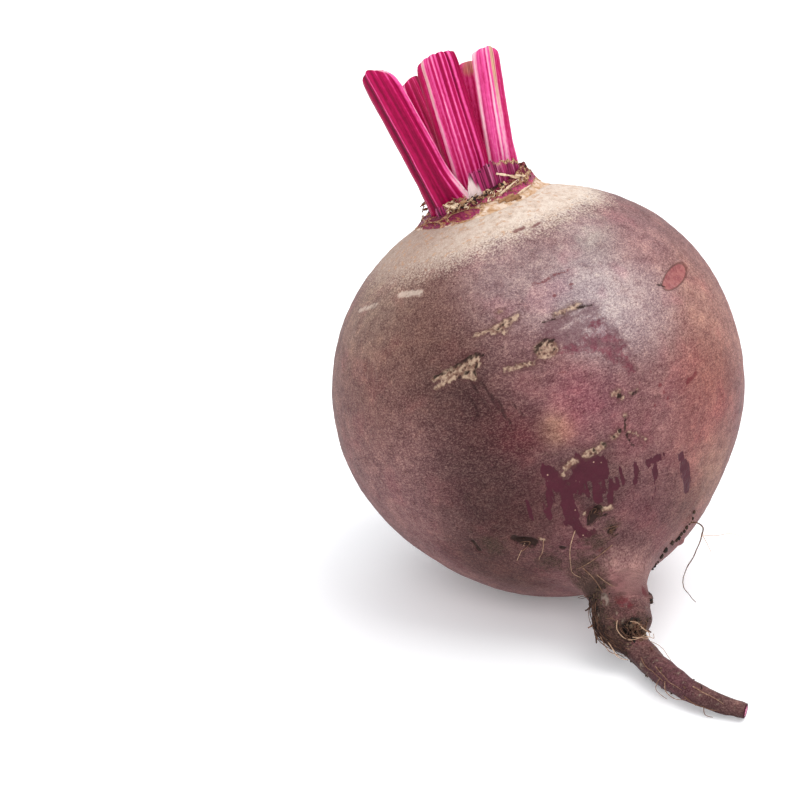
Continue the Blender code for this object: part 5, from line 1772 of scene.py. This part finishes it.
class SkinSettings(bpy.types.PropertyGroup):
    ring: colour_property("Ring", "Colour of the pale ring round the crown", (218, 203, 188))
    crimson: colour_property("Crimson", "Colour of the smooth crimson patch", (106, 40, 56))
    plum: colour_property("Plum", "Colour of the dark patches above the neck", (58, 18, 30))
    roughness: FloatProperty(
        name="Roughness", description="How dull the dry skin is", subtype="FACTOR",
        default=0.62, min=0.0, max=1.0)
    relief: FloatProperty(
        name="Relief", description="Depth of the skin's fine grain in millimetres",
        default=0.16, min=0.0, max=1.0)


class CrownSettings(bpy.types.PropertyGroup):
    wine: colour_property("Leaf scars", "Colour of the leaf scars round the crown", (104, 18, 50))


class StalkSettings(bpy.types.PropertyGroup):
    stalk: colour_property("Magenta", "Main colour of the leaf stalks", (176, 14, 80))
    pink: colour_property("Pink", "Colour of the lighter stripes", (226, 82, 150))


class StageSettings(bpy.types.PropertyGroup):
    floor: colour_property("Floor", "Colour of the floor", (250, 250, 251))
    floor_size: FloatProperty(
        name="Floor size", description="Width of the floor", unit="LENGTH", default=6.0, min=0.5)
    distance: FloatProperty(
        name="Camera distance", description="From the camera to the root's middle along its view",
        unit="LENGTH", default=0.45, min=0.1)
    elevation: FloatProperty(
        name="Camera elevation", description="Angle of the view above the horizon",
        subtype="ANGLE", default=VIEW_ELEVATION, min=0.0, max=math.radians(89))


def values(group):
    """A settings group as plain values."""
    return {name: tuple(v) if hasattr(v, "__len__") else v
            for name, v in ((key, getattr(group, key)) for key in group.__annotations__)}


# Operators

class BEETROOT_OT_skin(bpy.types.Operator):
    """Make the root's skin: bulb, neck and taproot"""
    bl_idname = "beetroot.skin"
    bl_label = "Root skin"

    def execute(self, context):
        piece = Piece()
        skin_mesh(piece)
        material = skin_material(values(context.scene.beetroot_skin))
        piece.finish("root_skin", material, "root_skin", "root")
        return {"FINISHED"}


class BEETROOT_OT_crown(bpy.types.Operator):
    """Make the crown with its leaf scars"""
    bl_idname = "beetroot.crown"
    bl_label = "Crown"

    def execute(self, context):
        piece = Piece()
        crown_mesh(piece)
        material = crown_material(values(context.scene.beetroot_crown))
        piece.finish("crown_collar", material, "crown_purple", "crown")
        return {"FINISHED"}


class BEETROOT_OT_stalks(bpy.types.Operator):
    """Make the cut leaf stalks"""
    bl_idname = "beetroot.stalks"
    bl_label = "Leaf stalks"

    def execute(self, context):
        material = stalk_material(values(context.scene.beetroot_stalks))
        for name in STALKS:
            piece = Piece()
            stalk_mesh(piece, name)
            piece.finish(name.replace("stalk", "leaf_stalk"), material, "stalk_pink", name)
        return {"FINISHED"}


class BEETROOT_OT_stubs(bpy.types.Operator):
    """Make the torn leaf bases in front of the stalks"""
    bl_idname = "beetroot.stubs"
    bl_label = "Torn leaf bases"

    def execute(self, context):
        material = stub_material()
        for name in STUBS:
            piece = Piece()
            stub_mesh(piece, name)
            piece.finish(name.replace("stub", "torn_base"), material, "crown_purple", name)
        return {"FINISHED"}


class BEETROOT_OT_scales(bpy.types.Operator):
    """Make the papery scales and the debris of the crown"""
    bl_idname = "beetroot.scales"
    bl_label = "Scales and debris"

    def execute(self, context):
        draw = random.Random(SEED)
        scales = Piece()
        scale_pieces(scales, draw)
        fibre_pieces(scales, draw)
        look = tone_material("dry_scale", (78, 42, 34), (156, 114, 80), (226, 202, 174))
        scales.finish("crown_scales", look, "crown_purple")
        debris = Piece()
        debris_pieces(debris, draw)
        look = tone_material("crown_debris", (34, 20, 18), (118, 70, 54), (206, 172, 136))
        debris.finish("crown_debris", look, "crown_purple")
        return {"FINISHED"}


class BEETROOT_OT_rootlets(bpy.types.Operator):
    """Make the rootlets and the soil that clings to them"""
    bl_idname = "beetroot.rootlets"
    bl_label = "Rootlets and soil"

    def execute(self, context):
        draw = random.Random(SEED + 1)
        threads = Piece()
        rootlet_pieces(threads, draw)
        side_root_pieces(threads, draw)
        look = tone_material("rootlet_bark", (48, 30, 26), (118, 84, 66), (200, 166, 138))
        threads.finish("rootlets", look, "root_skin")
        soil = Piece()
        crumb_pieces(soil, draw)
        look = tone_material("dry_soil", (26, 20, 18), (74, 56, 44), (150, 126, 100))
        soil.finish("soil_crumbs", look, "root_skin")
        return {"FINISHED"}


class BEETROOT_OT_stage(bpy.types.Operator):
    """Make the floor, the lights and the camera"""
    bl_idname = "beetroot.stage"
    bl_label = "Stage"

    def execute(self, context):
        scene = context.scene
        settings = scene.beetroot_stage
        half = settings.floor_size / 2
        mesh = bpy.data.meshes.new("studio_floor")
        corners = [(-half, -half, 0), (half, -half, 0), (half, half, 0), (-half, half, 0)]
        mesh.from_pydata(corners, [], [(0, 1, 2, 3)])
        # The floor glows faintly: painted light that lifts its shadows and lights the root from
        # below.
        look = Look("studio_floor", {
            "Roughness": 0.8, "Specular IOR Level": 0.15, "Emission Color": (0.98, 1.0, 1.0),
            "Emission Strength": 0.12,
        })
        mesh.materials.append(look.set(Base_Color=tuple(settings.floor)))
        floor = bpy.data.objects.new("studio_floor", mesh)
        scene.collection.objects.link(floor)

        world = bpy.data.worlds.new("studio_air")
        world.use_nodes = True
        air = world.node_tree.nodes["Background"].inputs
        air["Color"].default_value = (0.95, 0.97, 1.0, 1.0)
        air["Strength"].default_value = 0.84
        scene.world = world
        scene.view_settings.view_transform = "Standard"
        scene.view_settings.look = "None"
        for softbox in SOFTBOXES:
            soft_light(*softbox)

        camera = bpy.data.cameras.new("camera")
        camera.sensor_width = FILM
        camera.lens = LENS
        camera.clip_start = 0.01
        camera.clip_end = 50.0
        seat = bpy.data.objects.new("camera", camera)
        up, ahead = math.sin(settings.elevation), math.cos(settings.elevation)
        look_back = Vector((0.0, -ahead, up)) * settings.distance
        pixel = settings.distance * FILM / LENS / PICTURE
        across, down = (place - PICTURE / 2 for place in CENTRE_IN_PICTURE)
        shift = Vector((-across, up * down, ahead * down)) * pixel
        seat.location = Vector(BULB_CENTRE) + look_back + shift
        seat.rotation_euler = (math.pi / 2 - settings.elevation, 0.0, 0.0)
        scene.collection.objects.link(seat)
        scene.camera = seat
        return {"FINISHED"}


def soft_light(name, place, size, power, colour):
    """A square softbox that faces the beetroot's middle."""
    light = bpy.data.lights.new(name, "AREA")
    light.shape = "SQUARE"
    light.size = size
    light.energy = power
    light.color = colour
    lamp = bpy.data.objects.new(name, light)
    lamp.location = place
    towards = Vector((0.0, 0.0, 0.045)) - Vector(place)
    lamp.rotation_euler = towards.to_track_quat("-Z", "Y").to_euler()
    bpy.context.scene.collection.objects.link(lamp)


OPERATORS = (
    BEETROOT_OT_stage, BEETROOT_OT_skin, BEETROOT_OT_crown, BEETROOT_OT_stalks, BEETROOT_OT_stubs,
    BEETROOT_OT_scales, BEETROOT_OT_rootlets,
)
SETTINGS = {
    "beetroot_skin": SkinSettings,
    "beetroot_crown": CrownSettings,
    "beetroot_stalks": StalkSettings,
    "beetroot_stage": StageSettings,
}


class BEETROOT_PT_panel(bpy.types.Panel):
    """Sizes, colours and steps of the beetroot"""
    bl_idname = "BEETROOT_PT_panel"
    bl_label = "Beetroot"
    bl_space_type = "VIEW_3D"
    bl_region_type = "UI"
    bl_category = "Beetroot"

    def draw(self, context):
        for name, group in SETTINGS.items():
            box = self.layout.box()
            for key in group.__annotations__:
                box.prop(getattr(context.scene, name), key)
        for operator in OPERATORS:
            self.layout.operator(operator.bl_idname)


def register():
    """Make the settings, operators and panel known to Blender."""
    for group in SETTINGS.values():
        bpy.utils.register_class(group)
    for name, group in SETTINGS.items():
        setattr(bpy.types.Scene, name, PointerProperty(type=group))
    for operator in OPERATORS:
        bpy.utils.register_class(operator)
    bpy.utils.register_class(BEETROOT_PT_panel)


def unregister():
    """Take them away again."""
    bpy.utils.unregister_class(BEETROOT_PT_panel)
    for operator in reversed(OPERATORS):
        bpy.utils.unregister_class(operator)
    for name in SETTINGS:
        delattr(bpy.types.Scene, name)
    for group in SETTINGS.values():
        bpy.utils.unregister_class(group)


def main():
    """Make every piece and the stage."""
    register()
    for step in ("stage", "skin", "crown", "stalks", "stubs", "scales", "rootlets"):
        getattr(bpy.ops.beetroot, step)()


if __name__ == "__main__":
    main()
